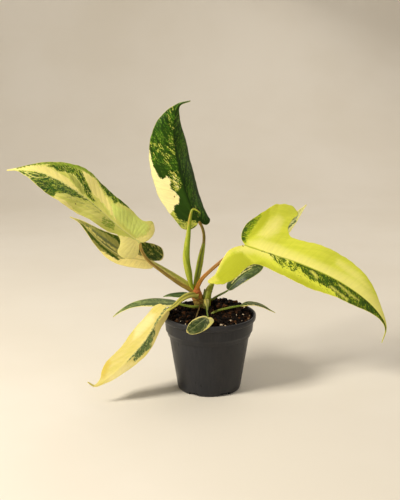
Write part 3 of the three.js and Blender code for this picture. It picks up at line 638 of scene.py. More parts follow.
@dataclass(frozen=True)
class EarthFinish:
    """Potting mix: each crumb its own brown, with fibres and pores."""

    name: str
    dark: Colour
    light: Colour
    fibre: Colour
    roughness: float = 0.9

    def material(self) -> bpy.types.Material:
        """The mix as a material."""
        graph = Graph(self.name)
        pores = graph.grain(graph.place(), (900,) * 3, detail=5, rough=0.7)
        threads = graph.grain(graph.place(), (1600, 260, 500), warp=1.2)
        colour = graph.mix(graph.reading("tint"), self.dark, self.light)
        colour = graph.dim(colour, graph.between(pores, 0.3, 0.7, 0.55, 1.35))
        return graph.finish(
            Base_Color=graph.mix(graph.between(threads, 0.62, 0.7, 0.0, 0.5), colour, self.fibre),
            Roughness=graph.between(pores, 0.3, 0.7, self.roughness - 0.15, self.roughness),
            Normal=graph.bumped(pores, 0.0008),
            Specular_IOR_Level=0.12,
        )


@dataclass(frozen=True)
class BackdropFinish:
    """A pale paper sweep, a little uneven."""

    name: str
    paper: Colour
    shade: Colour

    def material(self) -> bpy.types.Material:
        """The paper as a material."""
        graph = Graph(self.name)
        cloud = graph.grain(graph.place(), (2.2,) * 3, detail=4)
        tooth = graph.grain(graph.place(), (420,) * 3)
        return graph.finish(
            Base_Color=graph.mix(graph.between(cloud, 0.35, 0.65), self.paper, self.shade),
            Roughness=graph.between(tooth, 0.3, 0.7, 0.75, 0.95),
            Normal=graph.bumped(tooth, 0.0002, 0.4),
        )


# Stalks and stems

@dataclass(frozen=True)
class Tube:
    """An oval tube along a smooth line, with a small dome at each end.

    Attributes:
        points: places on its middle line, in mm.
        radii: across and through it at each of them, or one number for both.
        up: where its top side looks.
        low_turn: how far round to the right its low colour is turned, in degrees.
    """

    points: Rows
    radii: Sequence[float | tuple[float, float]]
    up: Triple = (0.0, -0.8, 0.6)
    low_turn: float = 0.0

    DOME = tuple(share * TURN / 4 for share in (0.35, 0.7, 0.95))  # where the rings of a dome lie
    DOME_HEIGHT = 0.45  # of the smaller radius

    def capped(self, values: Array) -> Array:
        """Values on the rings, repeated on the domes."""
        return np.concatenate([values[:1]] * len(self.DOME) + [values] + [values[-1:]] * len(self.DOME))

    def skin(self, factor: Array) -> tuple[Array, list[list[int]], Readings]:
        """The tube's surface.

        Args:
            factor: what each ring vertex's distance from the middle is multiplied by, a row for each ring.

        Returns:
            Vertices in mm, faces, and the readings around, share and turn.
        """
        rings, sides = factor.shape
        middle = smooth_path(self.points, rings)
        along = unit(np.gradient(middle, axis=0))
        across = unit(np.cross(along, np.asarray(self.up, float)))
        through = np.cross(across, along)
        radii = np.array([np.broadcast_to(radius, 2) for radius in self.radii], float)
        sizes = read_at(np.linspace(0, len(radii) - 1, rings), np.arange(len(radii)), radii)
        angle = np.linspace(0, TURN, sides, endpoint=False)
        wide = sizes[:, :1] * np.cos(angle) * factor
        deep = sizes[:, 1:] * np.sin(angle) * factor
        body = middle[:, None] + wide[..., None] * across[:, None] + deep[..., None] * through[:, None]
        domes = []
        for end, way in ((0, -1), (-1, 1)):
            out = way * self.DOME_HEIGHT * sizes[end].min() * along[end]
            flat = body[end] - middle[end]
            domes.append([middle[end] + math.cos(turn) * flat + math.sin(turn) * out for turn in self.DOME])
        body = np.concatenate([domes[0][::-1], body, domes[1]])
        reach = np.broadcast_to(added_up(strides(middle))[:, None], factor.shape)
        share = np.broadcast_to(np.linspace(0, 1, rings)[:, None], factor.shape)
        turn = np.broadcast_to(np.sin(angle - math.radians(self.low_turn)), body.shape[:2])
        readings = {
            "around": self.capped(np.stack([wide, deep, reach], -1)).reshape(-1, 3),
            "share": self.capped(share).ravel(),
            "turn": turn.ravel(),
        }
        return body.reshape(-1, 3), closed_faces(len(body), sides), readings


@dataclass(frozen=True)
class Rod:
    """A piece that grew round a tube. Each kind has a relief of its own."""

    tube: Tube
    finish: StalkFinish | BarkFinish
    rings: int = 110
    sides: int = 28

    ENDING = "_skin"  # of the piece's name

    def relief(self, share: Array, angle: Array) -> tuple[Array, Readings]:
        """The form of the skin.

        Args:
            share: how far along the tube each ring is, in a column.
            angle: how far round it each vertex is, in a row.

        Returns:
            What each vertex's distance from the middle is multiplied by, and what the finish reads there.
        """
        raise NotImplementedError

    def build(self, name: str) -> None:
        """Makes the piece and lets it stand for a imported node.

        Args:
            name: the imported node's name.
        """
        share = np.linspace(0, 1, self.rings)[:, None]
        angle = np.linspace(0, TURN, self.sides, endpoint=False)[None, :]
        factor, extra = self.relief(share, angle)
        points, faces, readings = self.tube.skin(factor)
        readings |= {key: self.tube.capped(values).ravel() for key, values in extra.items()}
        title = name.replace("petiole", "stalk") + self.ENDING
        dress(make_piece(title, points, faces, self.finish.material(), readings), self.finish.slot, name)


@dataclass(frozen=True)
class Stalk(Rod):
    """A leaf's stalk: a furrowed rod with faint ribs and a slight joint under the blade."""

    furrow: float = 0.16

    ENDING = ""
    FURROW_WIDTH = 0.42  # as an angle
    JOINT = 0.965  # where the joint is, as a share of the length
    JOINT_WIDTH = 0.03
    JOINT_HEIGHT = 0.07  # all heights are shares of the radius
    RIB_HEIGHT = 0.012
    LUMP_HEIGHT = 0.02

    def relief(self, share: Array, angle: Array) -> tuple[Array, Readings]:
        """The form of the skin, with the furrow fading out towards both ends.

        Args:
            share: how far along the tube each ring is, in a column.
            angle: how far round it each vertex is, in a row.

        Returns:
            The factors and the readings that every rod needs.
        """
        ends = eased(share, 0.05, 0.25) * eased(-share, -0.97, -0.85)
        furrow = hump(angle - TURN / 4, self.FURROW_WIDTH) * ends
        joint = self.JOINT_HEIGHT * hump(share - self.JOINT, self.JOINT_WIDTH)
        ribs = self.RIB_HEIGHT * np.sin(9 * angle + 2.5 * np.sin(4 * share))
        lumps = self.LUMP_HEIGHT * np.sin(23 * share + 1.3 * angle)
        return 1 - self.furrow * furrow + joint + ribs + lumps, {"furrow": furrow * (self.furrow > 0)}


@dataclass(frozen=True)
class ThinStalk(Stalk):
    """A small leaf's stalk, with fewer faces."""

    rings: int = 70
    sides: int = 20


@dataclass(frozen=True)
class Stem(Rod):
    """A stem with ring scars where leaves have been."""

    rings: int = 120
    sides: int = 40
    scars: tuple[float, ...] = ()

    SCAR_WIDTH = 0.012
    SCAR_HEIGHT = 0.045
    ROUGHNESS = 0.03

    def relief(self, share: Array, angle: Array) -> tuple[Array, Readings]:
        """The form of the skin, with scars that run round it a little askew.

        Args:
            share: how far along the tube each ring is, in a column.
            angle: how far round it each vertex is, in a row.

        Returns:
            The factors and the readings that every rod needs.
        """
        askew = [share - scar - self.SCAR_WIDTH * np.sin(angle + 9 * scar) for scar in self.scars]
        scar = sum(hump(off, self.SCAR_WIDTH) for off in askew)
        rough = self.ROUGHNESS * np.sin(5 * angle + 17 * share) * np.sin(31 * share + 2 * angle)
        return 1 + self.SCAR_HEIGHT * scar + rough, {"scar": scar, "furrow": 0.5 * scar}


@dataclass(frozen=True)
class Spike(Rod):
    """The rolled new leaf: a rod with a lapped seam that winds up it."""

    rings: int = 220
    sides: int = 48
    turns: float = 1.1

    START = 0.35  # where the seam is on top, as a share of the length
    LAP = 0.13  # how far the lapping edge stands out, as a share of the radius

    def relief(self, share: Array, angle: Array) -> tuple[Array, Readings]:
        """The form of the skin, with the seam fading out towards the foot.

        Args:
            share: how far along the tube each ring is, in a column.
            angle: how far round it each vertex is, in a row.

        Returns:
            The factors and the readings that every rod needs.
        """
        turn = (angle - TURN / 4 - TURN * self.turns * (share - self.START)) % TURN
        lap = self.LAP * (1 - turn / TURN) - 0.1 * np.exp(-turn / 0.18)
        above_foot = eased(share, 0.12, 0.3)
        return 0.95 + lap * above_foot, {"furrow": np.exp(-turn / 0.2) * above_foot}


# Leaves

class Midrib:
    """The middle line of a blade, and its three directions at any distance from the joint."""

    def __init__(self, points: Rows, facing: Rows) -> None:
        """Measures the line.

        Args:
            points: places on it from the joint to the tip, in mm.
            facing: where the upper face looks at each of them.
        """
        self.path = smooth_path(points, FINE)
        self.reach = added_up(strides(self.path))
        self.length = float(self.reach[-1])
        self.along = unit(np.gradient(self.path, axis=0))
        self.across = unit(np.cross(self.along, smooth_path(facing, FINE)))
        self.up = np.cross(self.across, self.along)

    def frame(self, distance: Array) -> tuple[Array, Array, Array]:
        """Where the line is, and which way it lies. It runs straight on behind the joint.

        Args:
            distance: how far from the joint, in mm.

        Returns:
            Places, across directions and up directions.
        """
        inside = np.clip(distance, 0, self.length)
        ways = (self.along, self.across, self.up)
        along, across, up = (unit(read_at(inside, self.reach, way)) for way in ways)
        return read_at(inside, self.reach, self.path) + along * np.minimum(distance, 0)[:, None], across, up


@dataclass(frozen=True)
class BladeShape:
    """A blade's form.

    Attributes:
        midrib: points from the joint to the tip, in mm.
        facing: where the upper face looks at each of them, or twice the same.
        veins: rows of where a vein leaves, its left end along and away, and its right end along and away;
            along as shares of the midrib, away in mm, left and right as seen from above.
        lift: rows of a share of the midrib, and the angle and curl of the left and of the right half, in
            degrees and degrees per cm.
        wave: height and length in mm and phase of the margin's waves.
        ridge: how far the midrib stands out beneath, in mm.
        thickness: of the blade beside the midrib, in mm.
        veined: how strongly the side veins stand out; 1 is 0.2 mm.
        step: the distance between vertices along the margin, in mm.
        columns: vertices from the midrib to the margin.
    """

    midrib: Rows
    facing: Rows
    veins: Rows
    lift: Rows
    wave: Triple
    ridge: float = 1.4
    thickness: float = 0.62
    veined: float = 1.0
    step: float = 1.1
    columns: int = 24

    JOINT = (0, 0, 0.5, 0, 0.5)  # the first vein of every blade, half a mm long
    TIP = (1, 1, 0.6, 1, 0.6)
    SWEEP = 1.25  # how strongly the side veins bow towards the tip
    WAVE_REACH = 15.0  # the waves are at their full height this far from the midrib
    WAVE_SHIFT = 1.7  # the right half's waves run this much ahead
    FOLD_REACH = 2.5  # within this of the midrib the thickness turns from one half's to the other's
    VEIN_GAP = 8.5  # between side veins along the margin

    def grid(self) -> Readings:
        """Every vertex of the blade's middle sheet, row by row from left margin to right margin.

        Returns:
            Arrays of rows by columns: at, normal, along, away (right above 0), row, share, margin and start.
        """
        midrib = Midrib(self.midrib, self.facing)
        table = np.array([self.JOINT, *self.veins, self.TIP], float)
        left, right = (smooth_path(table[:, k : k + 2] * (midrib.length, 1), FINE) for k in (1, 3))
        spots = np.linspace(0, len(table) - 1, FINE)
        start = np.interp(spots, np.arange(len(table)), table[:, 0] * midrib.length)
        reach = added_up(np.maximum(strides(left), strides(right)))
        rows = np.linspace(0, reach[-1], 1 + round(reach[-1] / self.step))
        ends = read_at(rows, reach, np.column_stack([start, left, right]))
        share = np.linspace(0, 1, self.columns + 1)
        share = share * (1 + 0.35 * (1 - share) * (2 * share - 1))
        signed = np.concatenate([-share[::-1], share[1:]])
        side = np.where(signed < 0, -1.0, 1.0)
        size = np.abs(signed)
        begin = ends[:, :1]
        end_along = np.where(side < 0, ends[:, 1:2], ends[:, 3:4])
        end_away = np.where(side < 0, ends[:, 2:3], ends[:, 4:5])
        ripple = 1 + 0.012 * np.sin(rows / 2.3)[:, None] * np.sin(rows / 7.1 + 1)[:, None] * size
        along = begin + (end_along - begin) * size**self.SWEEP
        away = end_away * size * ripple
        shape = along.shape
        at, across, up = midrib.frame(along.ravel())
        lift = np.asarray(self.lift, float)
        bent = read_at((along / midrib.length).ravel(), lift[:, 0], lift[:, 1:]).reshape(*shape, 4)
        angle = np.radians(np.where(side < 0, bent[..., 0], bent[..., 2]))
        curl = np.radians(np.where(side < 0, bent[..., 1], bent[..., 3])) / 10
        curl = np.where(np.abs(curl) < 1e-6, 1e-6, curl)
        aside = (np.sin(angle + curl * away) - np.sin(angle)) / curl
        rise = (np.cos(angle) - np.cos(angle + curl * away)) / curl
        height, length, phase = self.wave
        turn = TURN * along / length + phase + np.where(side < 0, 0, self.WAVE_SHIFT)
        rise = rise + height * eased(away, 0, self.WAVE_REACH) * np.sin(turn)
        lean = (angle + curl * away) * np.minimum(1, away / self.FOLD_REACH)
        sheet = at + across * (side * aside).reshape(-1, 1) + up * rise.reshape(-1, 1)
        normal = up * np.cos(lean).reshape(-1, 1) - across * (side * np.sin(lean)).reshape(-1, 1)
        return {
            "at": sheet.reshape(*shape, 3),
            "normal": normal.reshape(*shape, 3),
            "along": along,
            "away": side * away,
            "row": np.broadcast_to(rows[:, None], shape),
            "share": np.broadcast_to(size, shape),
            "margin": end_away * (1 - size),
            "start": np.broadcast_to(begin / midrib.length, shape),
        }


@dataclass(frozen=True)
class SmallBlade(BladeShape):
    """A young leaf's blade: thinner, with a low midrib and fewer faces."""

    ridge: float = 0.5
    thickness: float = 0.55
    columns: int = 14


@dataclass(frozen=True)
class Leaf:
    """One leaf: its blade's form, skin and marks, and its stalk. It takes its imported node's name."""

    name: str
    shape: BladeShape
    finish: LeafFinish
    marks: tuple[Mark, ...]
    stalk: Stalk

    LEAN = 1.1  # how far flecks run towards the tip for each mm away from the midrib
    STREAK = 0.3  # how far long streaks drift from the midrib for each mm towards the tip
    VEIN_WIDTH = 0.55  # in mm
    PILLOW = 0.1  # how far the blade swells between two veins, in mm
    RIM = 0.12  # how far the round edge stands out past the faces, in mm
    DRIFT = 0.35  # height of the blade's soft unevenness, in mm
    DRIFT_LENGTH = 17  # and its length

    def vein_distance(self, grid: Readings) -> Array:
        """How far each place of the blade's grid is from its nearest side vein, in mm."""
        off = 0.5 - np.abs((grid["row"] / self.shape.VEIN_GAP) % 1 - 0.5)
        return off * self.shape.VEIN_GAP * np.maximum(grid["share"], 0.15)

    def relief(self, grid: Readings) -> tuple[Array, Array]:
        """How far the upper and the lower face stand off the middle sheet, in mm.

        Args:
            grid: the blade's vertices.

        Returns:
            Heights of the upper face and depths of the lower face, with the side veins in both.
        """
        shape, share, away, near = self.shape, grid["share"], np.abs(grid["away"]), self.vein_distance(grid)
        young = 1 - grid["start"]
        thin = 0.5 * shape.thickness * (1 - 0.5 * share**3)
        clear = shape.veined * eased(away, 1.5, 6) * eased(-share, -0.98, -0.75)
        vein = hump(near, self.VEIN_WIDTH) * clear
        pillow = self.PILLOW * np.sin(TURN / 4 * np.minimum(1, near / 2.4)) * clear
        keel = shape.ridge * young * hump(away, 0.5 + 0.8 * young)
        groove = 0.2 * young * hump(away, 0.5)
        return thin + pillow - 0.08 * vein - groove, thin - pillow + 0.14 * vein + keel

    def faces(self, rows: int, columns: int) -> list[list[int]]:
        """Faces of a closed blade whose rows run over it, round its edge and back under it.

        Args:
            rows: how many rows.
            columns: how many vertices of a row are on the upper face.

        Returns:
            Vertex numbers of each face.
        """
        wide = 2 * columns + 2
        faces = grid_faces(rows, wide, around=True)[:, ::-1].tolist()
        last = (rows - 1) * wide
        for k in range(columns - 1):
            far = wide - 2 - k
            faces.append([k, k + 1, far - 1, far])
            faces.append([last + far, last + far - 1, last + k + 1, last + k])
        for end, turn in ((0, 1), (last, -1)):
            faces.append([end + wide - 1, end, end + wide - 2][::turn])
            faces.append([end + columns - 1, end + columns, end + columns + 1][::turn])
        return faces

    def readings(self, grid: Readings) -> Readings:
        """What the skin reads at each vertex, in the order of the closed rows.

        Args:
            grid: the blade's vertices.

        Returns:
            Numbers and triples by name.
        """
        def looped(values: Array, below: float = 0.0) -> Array:
            """Values of the sheet laid out as the closed rows are, with a number added beneath."""
            back = values[:, ::-1] + below
            return np.concatenate([values, values[:, -1:], back, values[:, :1]], axis=1).ravel()

        along, away, young = grid["along"], np.abs(grid["away"]), 1 - grid["start"]
        beside = 5 * (1 - eased(away, 1.0, 3.0))
        flow = (along - self.LEAN * away, 1.4 * grid["away"], away - self.STREAK * along)
        readings = {
            "veins": np.stack([looped(grid[key]) for key in ("row", "away", "along")], -1),
            "flow": np.stack([looped(values) for values in flow], -1),
            "margin": looped(grid["margin"]),
            "vein": looped(self.vein_distance(grid) + beside),
            "rib": looped(away / (0.35 + young)),
            "under": looped(0 * away, 1.0),
        }
        flat = np.stack([along, grid["away"]], -1).reshape(-1, 2)
        for tone in {mark.tone for mark in self.marks}:
            depths = [mark.depth(flat) for mark in self.marks if mark.tone is tone]
            readings[tone.value] = looped(np.max(depths, axis=0).reshape(away.shape))
        return readings

    def build(self) -> None:
        """Makes the blade and its stalk."""
        grid = self.shape.grid()
        above, below = self.relief(grid)
        flat = np.stack([grid["along"], grid["away"]], -1).reshape(-1, 2)
        drift = self.DRIFT * soft_noise(flat, self.DRIFT_LENGTH, self.finish.seed).reshape(above.shape)
        drift = drift * eased(grid["share"], 0.1, 0.6)
        heights = (above + drift, drift - below, drift)
        upper, lower, middle = (grid["at"] + grid["normal"] * height[..., None] for height in heights)
        rim = middle[:, [0, -1]] + self.RIM * unit(middle[:, [0, -1]] - middle[:, [1, -2]])
        loop = np.concatenate([upper, rim[:, 1:], lower[:, ::-1], rim[:, :1]], axis=1)
        faces = self.faces(*above.shape)
        points, readings = loop.reshape(-1, 3), self.readings(grid)
        blade = make_piece(self.name + "_blade", points, faces, self.finish.material(), readings)
        dress(blade, self.finish.slot, self.name)
        self.stalk.build(self.name.replace("leaf", "petiole"))


# Pot and soil

@dataclass(frozen=True)
class Pot:
    """The nursery pot: one moulding with a rolled lip, a collar, a shoulder and six slots round its foot."""

    finish: PotFinish
    rim_radius: float = 53.0
    height: float = 88.0
    lip_height: float = 7.0
    collar_radius: float = 50.4
    collar_bottom: float = 70.5
    shoulder_radius: float = 45.6
    shoulder_bottom: float = 63.5
    base_radius: float = 36.3
    foot_radius: float = 35.5
    foot_height: float = 2.5
    wall: float = 1.2
    floor: float = 1.6
    slots: int = 6
    slot_width: float = 12.0
    slot_height: float = 3.2
    slot_inner_radius: float = 31.5

    SIDES = 192
    BEAD = 1.6  # radius of the lip's round top edge
    RING_GAP = 4  # between rings of vertices, in mm
    CUT_PAST = 4  # how far the blocks that cut the slots stand out of the foot, in mm
    SHARP = 38.0  # edges stay sharp from this angle, in degrees

    def profile(self) -> list[tuple[float, float]]:
        """Radius and height of the moulding's section, up the outside and back down the inside."""
        rim, collar, shoulder = self.rim_radius, self.collar_radius, self.shoulder_radius
        base, foot, lip = self.base_radius, self.foot_height, self.height - self.lip_height
        bottom, below = self.collar_bottom, self.shoulder_bottom
        outside = [
            (self.foot_radius - 0.6, 0.0), (self.foot_radius, 0.5), (base - 0.3, foot - 0.3),
            (base, foot + 0.5), (shoulder, below - 0.6), (shoulder + 1.3, below - 0.2),
            (shoulder + 1.7, below + 0.6), (shoulder + 1.9, below + 2.2), (collar - 1.5, bottom - 2.1),
            (collar - 0.9, bottom - 1.1), (collar - 0.8, bottom), (collar, lip - 0.4),
            (collar + 0.5, lip + 0.1), (rim - 1.0, lip + 0.6), (rim - 0.3, lip + 1.4), (rim, lip + 2.6),
        ]
        bead = [
            (rim + self.BEAD * (math.cos(t) - 1), self.height - 0.1 + self.BEAD * (math.sin(t) - 1))
            for t in np.radians([0, 22, 45, 68, 90])
        ]
        inside = [
            (rim - 2.6, self.height - 0.9), (rim - 3.0, self.height - 2.0), (collar - self.wall, lip),
            (collar - 0.8 - self.wall, bottom), (shoulder + 1.8 - self.wall, below + 2.2),
            (shoulder - self.wall, below), (base - self.wall, self.floor + 1),
            (base - self.wall - 0.8, self.floor),
        ]
        return outside + bead + inside

    def build(self) -> None:
        """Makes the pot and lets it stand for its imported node."""
        profile = self.profile()
        fine = profile[:1]
        for (r0, z0), (r1, z1) in zip(profile, profile[1:]):
            parts = max(1, round(math.hypot(r1 - r0, z1 - z0) / self.RING_GAP))
            fine += [(r0 + (r1 - r0) * k / parts, z0 + (z1 - z0) * k / parts) for k in range(1, parts + 1)]
        angle = np.linspace(0, TURN, self.SIDES, endpoint=False)
        x, y = np.cos(angle), np.sin(angle)
        rings = [np.stack([r * x, r * y, np.full(self.SIDES, z)], -1) for r, z in fine]
        faces = closed_faces(len(rings), self.SIDES)
        piece = make_piece("nursery_pot", np.concatenate(rings), faces, self.finish.material())
        self.cut_slots(piece)
        piece.data.set_sharp_from_angle(angle=math.radians(self.SHARP))
        dress(piece, "pot_plastic", "pot")

    def cut_slots(self, piece: bpy.types.Object) -> None:
        """Cuts the drain slots through the foot.

        Args:
            piece: the pot without them.
        """
        depth = self.base_radius + self.CUT_PAST - self.slot_inner_radius
        shift = Matrix.Translation(((self.slot_inner_radius + depth / 2) * MM, 0, 0))
        size = Matrix.Diagonal((depth * MM, self.slot_width * MM, 2 * self.slot_height * MM, 1))
        blocks = bmesh.new()
        for i in range(self.slots):
            turn = Matrix.Rotation(TURN * i / self.slots, 4, "Z")
            bmesh.ops.create_cube(blocks, size=1, matrix=turn @ shift @ size)
        mesh = bpy.data.meshes.new("slot_blocks")
        blocks.to_mesh(mesh)
        blocks.free()
        cutter = add_object("slot_blocks", mesh)
        cut = piece.modifiers.new("slots", "BOOLEAN")
        cut.operation = "DIFFERENCE"
        cut.solver = "EXACT"
        cut.object = cutter
        bpy.context.view_layer.update()
        shaped = piece.evaluated_get(bpy.context.evaluated_depsgraph_get())
        made = bpy.data.meshes.new_from_object(shaped)
        piece.modifiers.clear()
        piece.data = made
        bpy.data.objects.remove(cutter)


@dataclass
class Lumps:
    """Small irregular lumps, gathered into one mesh on top of what it already holds.

    Attributes:
        draw: where their random numbers come from.
        points: vertices in mm.
        faces: vertex numbers of each face.
        tints: how light each vertex is, from 0 to 1.
    """

    draw: random.Random
    points: list[Sequence[float]] = field(default_factory=list)
    faces: list[list[int]] = field(default_factory=list)
    tints: list[float] = field(default_factory=list)

    SHARP = 30.0  # edges stay sharp from this angle, in degrees

    def add(self, at: Triple, size: float, squash: float, power: float) -> None:
        """Adds a lump.

        Args:
            at: its middle.
            size: its usual radius.
            squash: its height as a share of its width.
            power: its tint is a random number to this power; a high one makes light lumps rare.
        """
        draw = self.draw
        lump = bmesh.new()
        bmesh.ops.create_icosphere(lump, subdivisions=1, radius=1)
        angle = draw.uniform(0, 6.3)
        axis = Vector([draw.gauss(0, 1) for _ in range(3)]).normalized()
        turn = Matrix.Rotation(angle, 4, axis)
        wide, deep = size * draw.uniform(0.7, 1.3), size * draw.uniform(0.7, 1.2)
        shape = Matrix.Diagonal((wide, deep, size * squash, 1))
        for corner in lump.verts:
            corner.co = corner.co * draw.uniform(0.72, 1.22)
        bmesh.ops.transform(lump, matrix=Matrix.Translation(at) @ turn @ shape, verts=lump.verts)
        first = len(self.points)
        self.points += [tuple(corner.co) for corner in lump.verts]
        self.faces += [[first + corner.index for corner in face.verts] for face in lump.faces]
        self.tints += [draw.random() ** power] * len(lump.verts)
        lump.free()

    def build(self, name: str, finish: EarthFinish, *nodes: str) -> None:
        """Makes one piece of them all.

        Args:
            name: the piece's name.
            finish: its finish.
            nodes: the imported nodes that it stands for, if any.
        """
        tints = {"tint": np.array(self.tints)}
        piece = make_piece(name, np.array(self.points), self.faces, finish.material(), tints, self.SHARP)
        dress(piece, "potting_mix", *nodes)


@dataclass(frozen=True)
class Soil:
    """The potting mix: a heaped bed with loose crumbs, and pale grains given by place and size."""

    finish: EarthFinish
    grain_finish: EarthFinish
    radius: float = 48.6
    edge_height: float = 84.8
    mound_height: float = 11.5
    mound_centre: tuple[float, float] = (8.0, 18.0)
    mound_spread: tuple[float, float] = (38.0, 20.0)
    waves: tuple[tuple[float, float, float, float], ...] = (
        (0.61, 0.18, 0.0, 1.0), (-0.16, 0.53, 1.2, 1.0), (0.93, -0.66, 2.1, 0.5), (0.5, 0.98, 0.4, 0.5),
    )
    crumbs: int = 3400
    grains: tuple[Triple, ...] = (
        (-26, -36, 1.5), (-21, -33, 1.2), (-12, -35, 1.6), (24, -24, 2.2), (31, -22, 1.5), (29, -31, 1.3),
        (38, -6, 1.7), (40, 10, 1.3), (44, -15, 1.6), (45, -6, 1.3), (13, -40, 2.3), (17, -42, 1.4),
        (-36, -20, 1.3), (20, 26, 1.6), (-16, 30, 1.4), (6, 40, 1.3), (-38, 12, 1.2), (2, -42, 1.0),
        (-30, 26, 1.5), (33, 1, 1.4), (26, -14, 1.3), (36, -26, 1.6), (20, -34, 1.2), (8, -32, 1.2),
        (-32, -28, 1.6), (30, -6, 1.5),
    )
    seed: int = 11

    BED_SIDES = 120
    BED_RINGS = 56
    BED_BOTTOM = 76.0
    BED_TINT = 0.05
    LARGEST = 3.8  # radius of the largest crumb
    DARK_CRUMBS = 6  # the power that keeps light crumbs rare
    GRAIN_LIFT = 0.9  # how far the middle of a pale grain lies above the bed

    def top(self, x: float | Array, y: float | Array) -> float | Array:
        """The bed's height without its fine roughness.

        Args:
            x: place to the right of the pot's axis.
            y: place behind it.

        Returns:
            Heights in mm.
        """
        (cx, cy), (sx, sy) = self.mound_centre, self.mound_spread
        heap = self.mound_height * hump(x - cx, sx) * hump(y - cy, sy)
        hills = sum(share * np.sin(ax * x + ay * y + phase) for ax, ay, phase, share in self.waves)
        dip = eased(np.hypot(x, y), self.radius - 6, self.radius)
        return (self.edge_height + heap + 0.7 * hills) * (1 - dip) + (self.edge_height - 0.8) * dip

    def bed(self) -> Lumps:
        """The bed under the crumbs, with none on it yet."""
        angle = np.linspace(0, TURN, self.BED_SIDES, endpoint=False)
        radii = np.linspace(self.radius, 0.5, self.BED_RINGS)[:, None]
        x, y = radii * np.cos(angle), radii * np.sin(angle)
        rough = 0.45 * soft_noise(np.stack([x, y], -1).reshape(-1, 2), 2.6, 4.0).reshape(x.shape)
        surface = np.stack([x, y, self.top(x, y) + rough], -1)
        bottom = surface[:1] * (1, 1, 0) + (0, 0, self.BED_BOTTOM)
        points = np.concatenate([bottom, surface]).reshape(-1, 3).tolist()
        faces = closed_faces(self.BED_RINGS + 1, self.BED_SIDES)
        return Lumps(random.Random(self.seed), points, faces, [self.BED_TINT] * len(points))

    def scatter(self, mix: Lumps) -> None:
        """Drops the loose crumbs on the bed, with small ones near the wall.

        Args:
            mix: the bed.
        """
        for _ in range(self.crumbs):
            radius = self.radius * math.sqrt(mix.draw.random())
            angle = mix.draw.uniform(0, TURN)
            size = min(self.LARGEST, 0.6 + mix.draw.expovariate(1.05), 0.9 + 0.35 * (self.radius - radius))
            radius = min(radius, self.radius - size - 0.3)
            x, y = radius * math.cos(angle), radius * math.sin(angle)
            z = self.top(x, y) + size * mix.draw.uniform(-0.35, 0.35)
            mix.add((x, y, z), size, 0.75, self.DARK_CRUMBS)

    def build(self) -> None:
        """Makes the bed with its crumbs, for the packed soil, and the pale grains."""
        mix = self.bed()
        self.scatter(mix)
        mix.build("potting_mix", self.finish, "soil")
        grains = Lumps(random.Random(self.seed + 1))
        for x, y, size in self.grains:
            grains.add((x, y, self.top(x, y) + self.GRAIN_LIFT), size, 0.6, 1)
        grains.build("pale_grains", self.grain_finish)


# Studio

@dataclass(frozen=True)
class Lamp:
    """A square soft light that looks at the plant.

    Attributes:
        name: its name.
        place: where it hangs, in metres.
        size: its width, in metres.
        power: in watts.
        warmth: its colour.
    """

    name: str
    place: Triple
    size: float
    power: float
    warmth: Triple

    AIM = (0, 0, 0.16)

    def hang(self) -> None:
        """Adds the light to the scene."""
        data = bpy.data.lights.new(self.name, "AREA")
        data.size = self.size
        data.energy = self.power
        data.color = self.warmth
        lamp = add_object(self.name, data)
        lamp.location = self.place
        lamp.rotation_euler = (Vector(self.AIM) - Vector(self.place)).to_track_quat("-Z", "Y").to_euler()


@dataclass(frozen=True)
class Studio:
    """A pale sweep, soft light from the upper left, and the camera where the photographer stood."""

    finish: BackdropFinish
    half_width: float = 3.0
    front: float = -2.4
    back: float = 1.1
    bend: float = 0.9
    top: float = 2.6
    lens: float = 66.96
    distance: float = 1.011
    eye: float = 0.402
    aside: float = -0.0105
    pitch: float = 13.4
    sky: Triple = (1.0, 0.92, 0.82)
    sky_strength: float = 0.27
    lamps: tuple[Lamp, ...] = (
        Lamp("key", (-1.05, -0.65, 1.15), 0.42, 25.5, (1.0, 0.95, 0.83)),
        Lamp("fill", (0.6, -1.7, 0.9), 2.2, 3.9, (1.0, 0.96, 0.9)),
        Lamp("back", (0.6, 0.9, 1.2), 1.7, 7.0, (1.0, 0.95, 0.86)),
    )

    def sweep(self) -> None:
        """Makes the floor that turns up into a wall."""
        turns = np.linspace(0, TURN / 4, 24)
        curve = [(self.back + self.bend * math.sin(t), self.bend * (1 - math.cos(t))) for t in turns]
        line = [(self.front, 0.0), *curve, (self.back + self.bend, self.top)]
        points = np.array([[x, y, z] for y, z in line for x in (-self.half_width, self.half_width)]) / MM
        faces = grid_faces(len(line), 2).tolist()
        piece = make_piece("paper_sweep", points, faces, self.finish.material())

    def light(self) -> None:
        """Hangs the lights and sets a dim even sky."""
        for lamp in self.lamps:
            lamp.hang()
        world = bpy.data.worlds.new("sky")
        world.use_nodes = True
        background = world.node_tree.nodes["Background"]
        background.inputs["Color"].default_value = (*self.sky, 1.0)
        background.inputs["Strength"].default_value = self.sky_strength
        bpy.context.scene.world = world
        bpy.context.scene.view_settings.view_transform = "Standard"

    def camera(self) -> None:
        """Sets up the camera."""
        data = bpy.data.cameras.new("photo_camera")
        data.lens = self.lens
        data.sensor_width = 36.0
        data.clip_start = 0.01
        camera = add_object("photo_camera", data)
        camera.location = (self.aside, -self.distance, self.eye)
        camera.rotation_euler = (math.radians(90 - self.pitch), 0, 0)
        bpy.context.scene.camera = camera

    def build(self) -> None:
        """Makes the whole studio."""
        self.sweep()
        self.light()
        self.camera()
        LOG.info("studio: sweep, %d lights and the camera", len(self.lamps))


# The plant

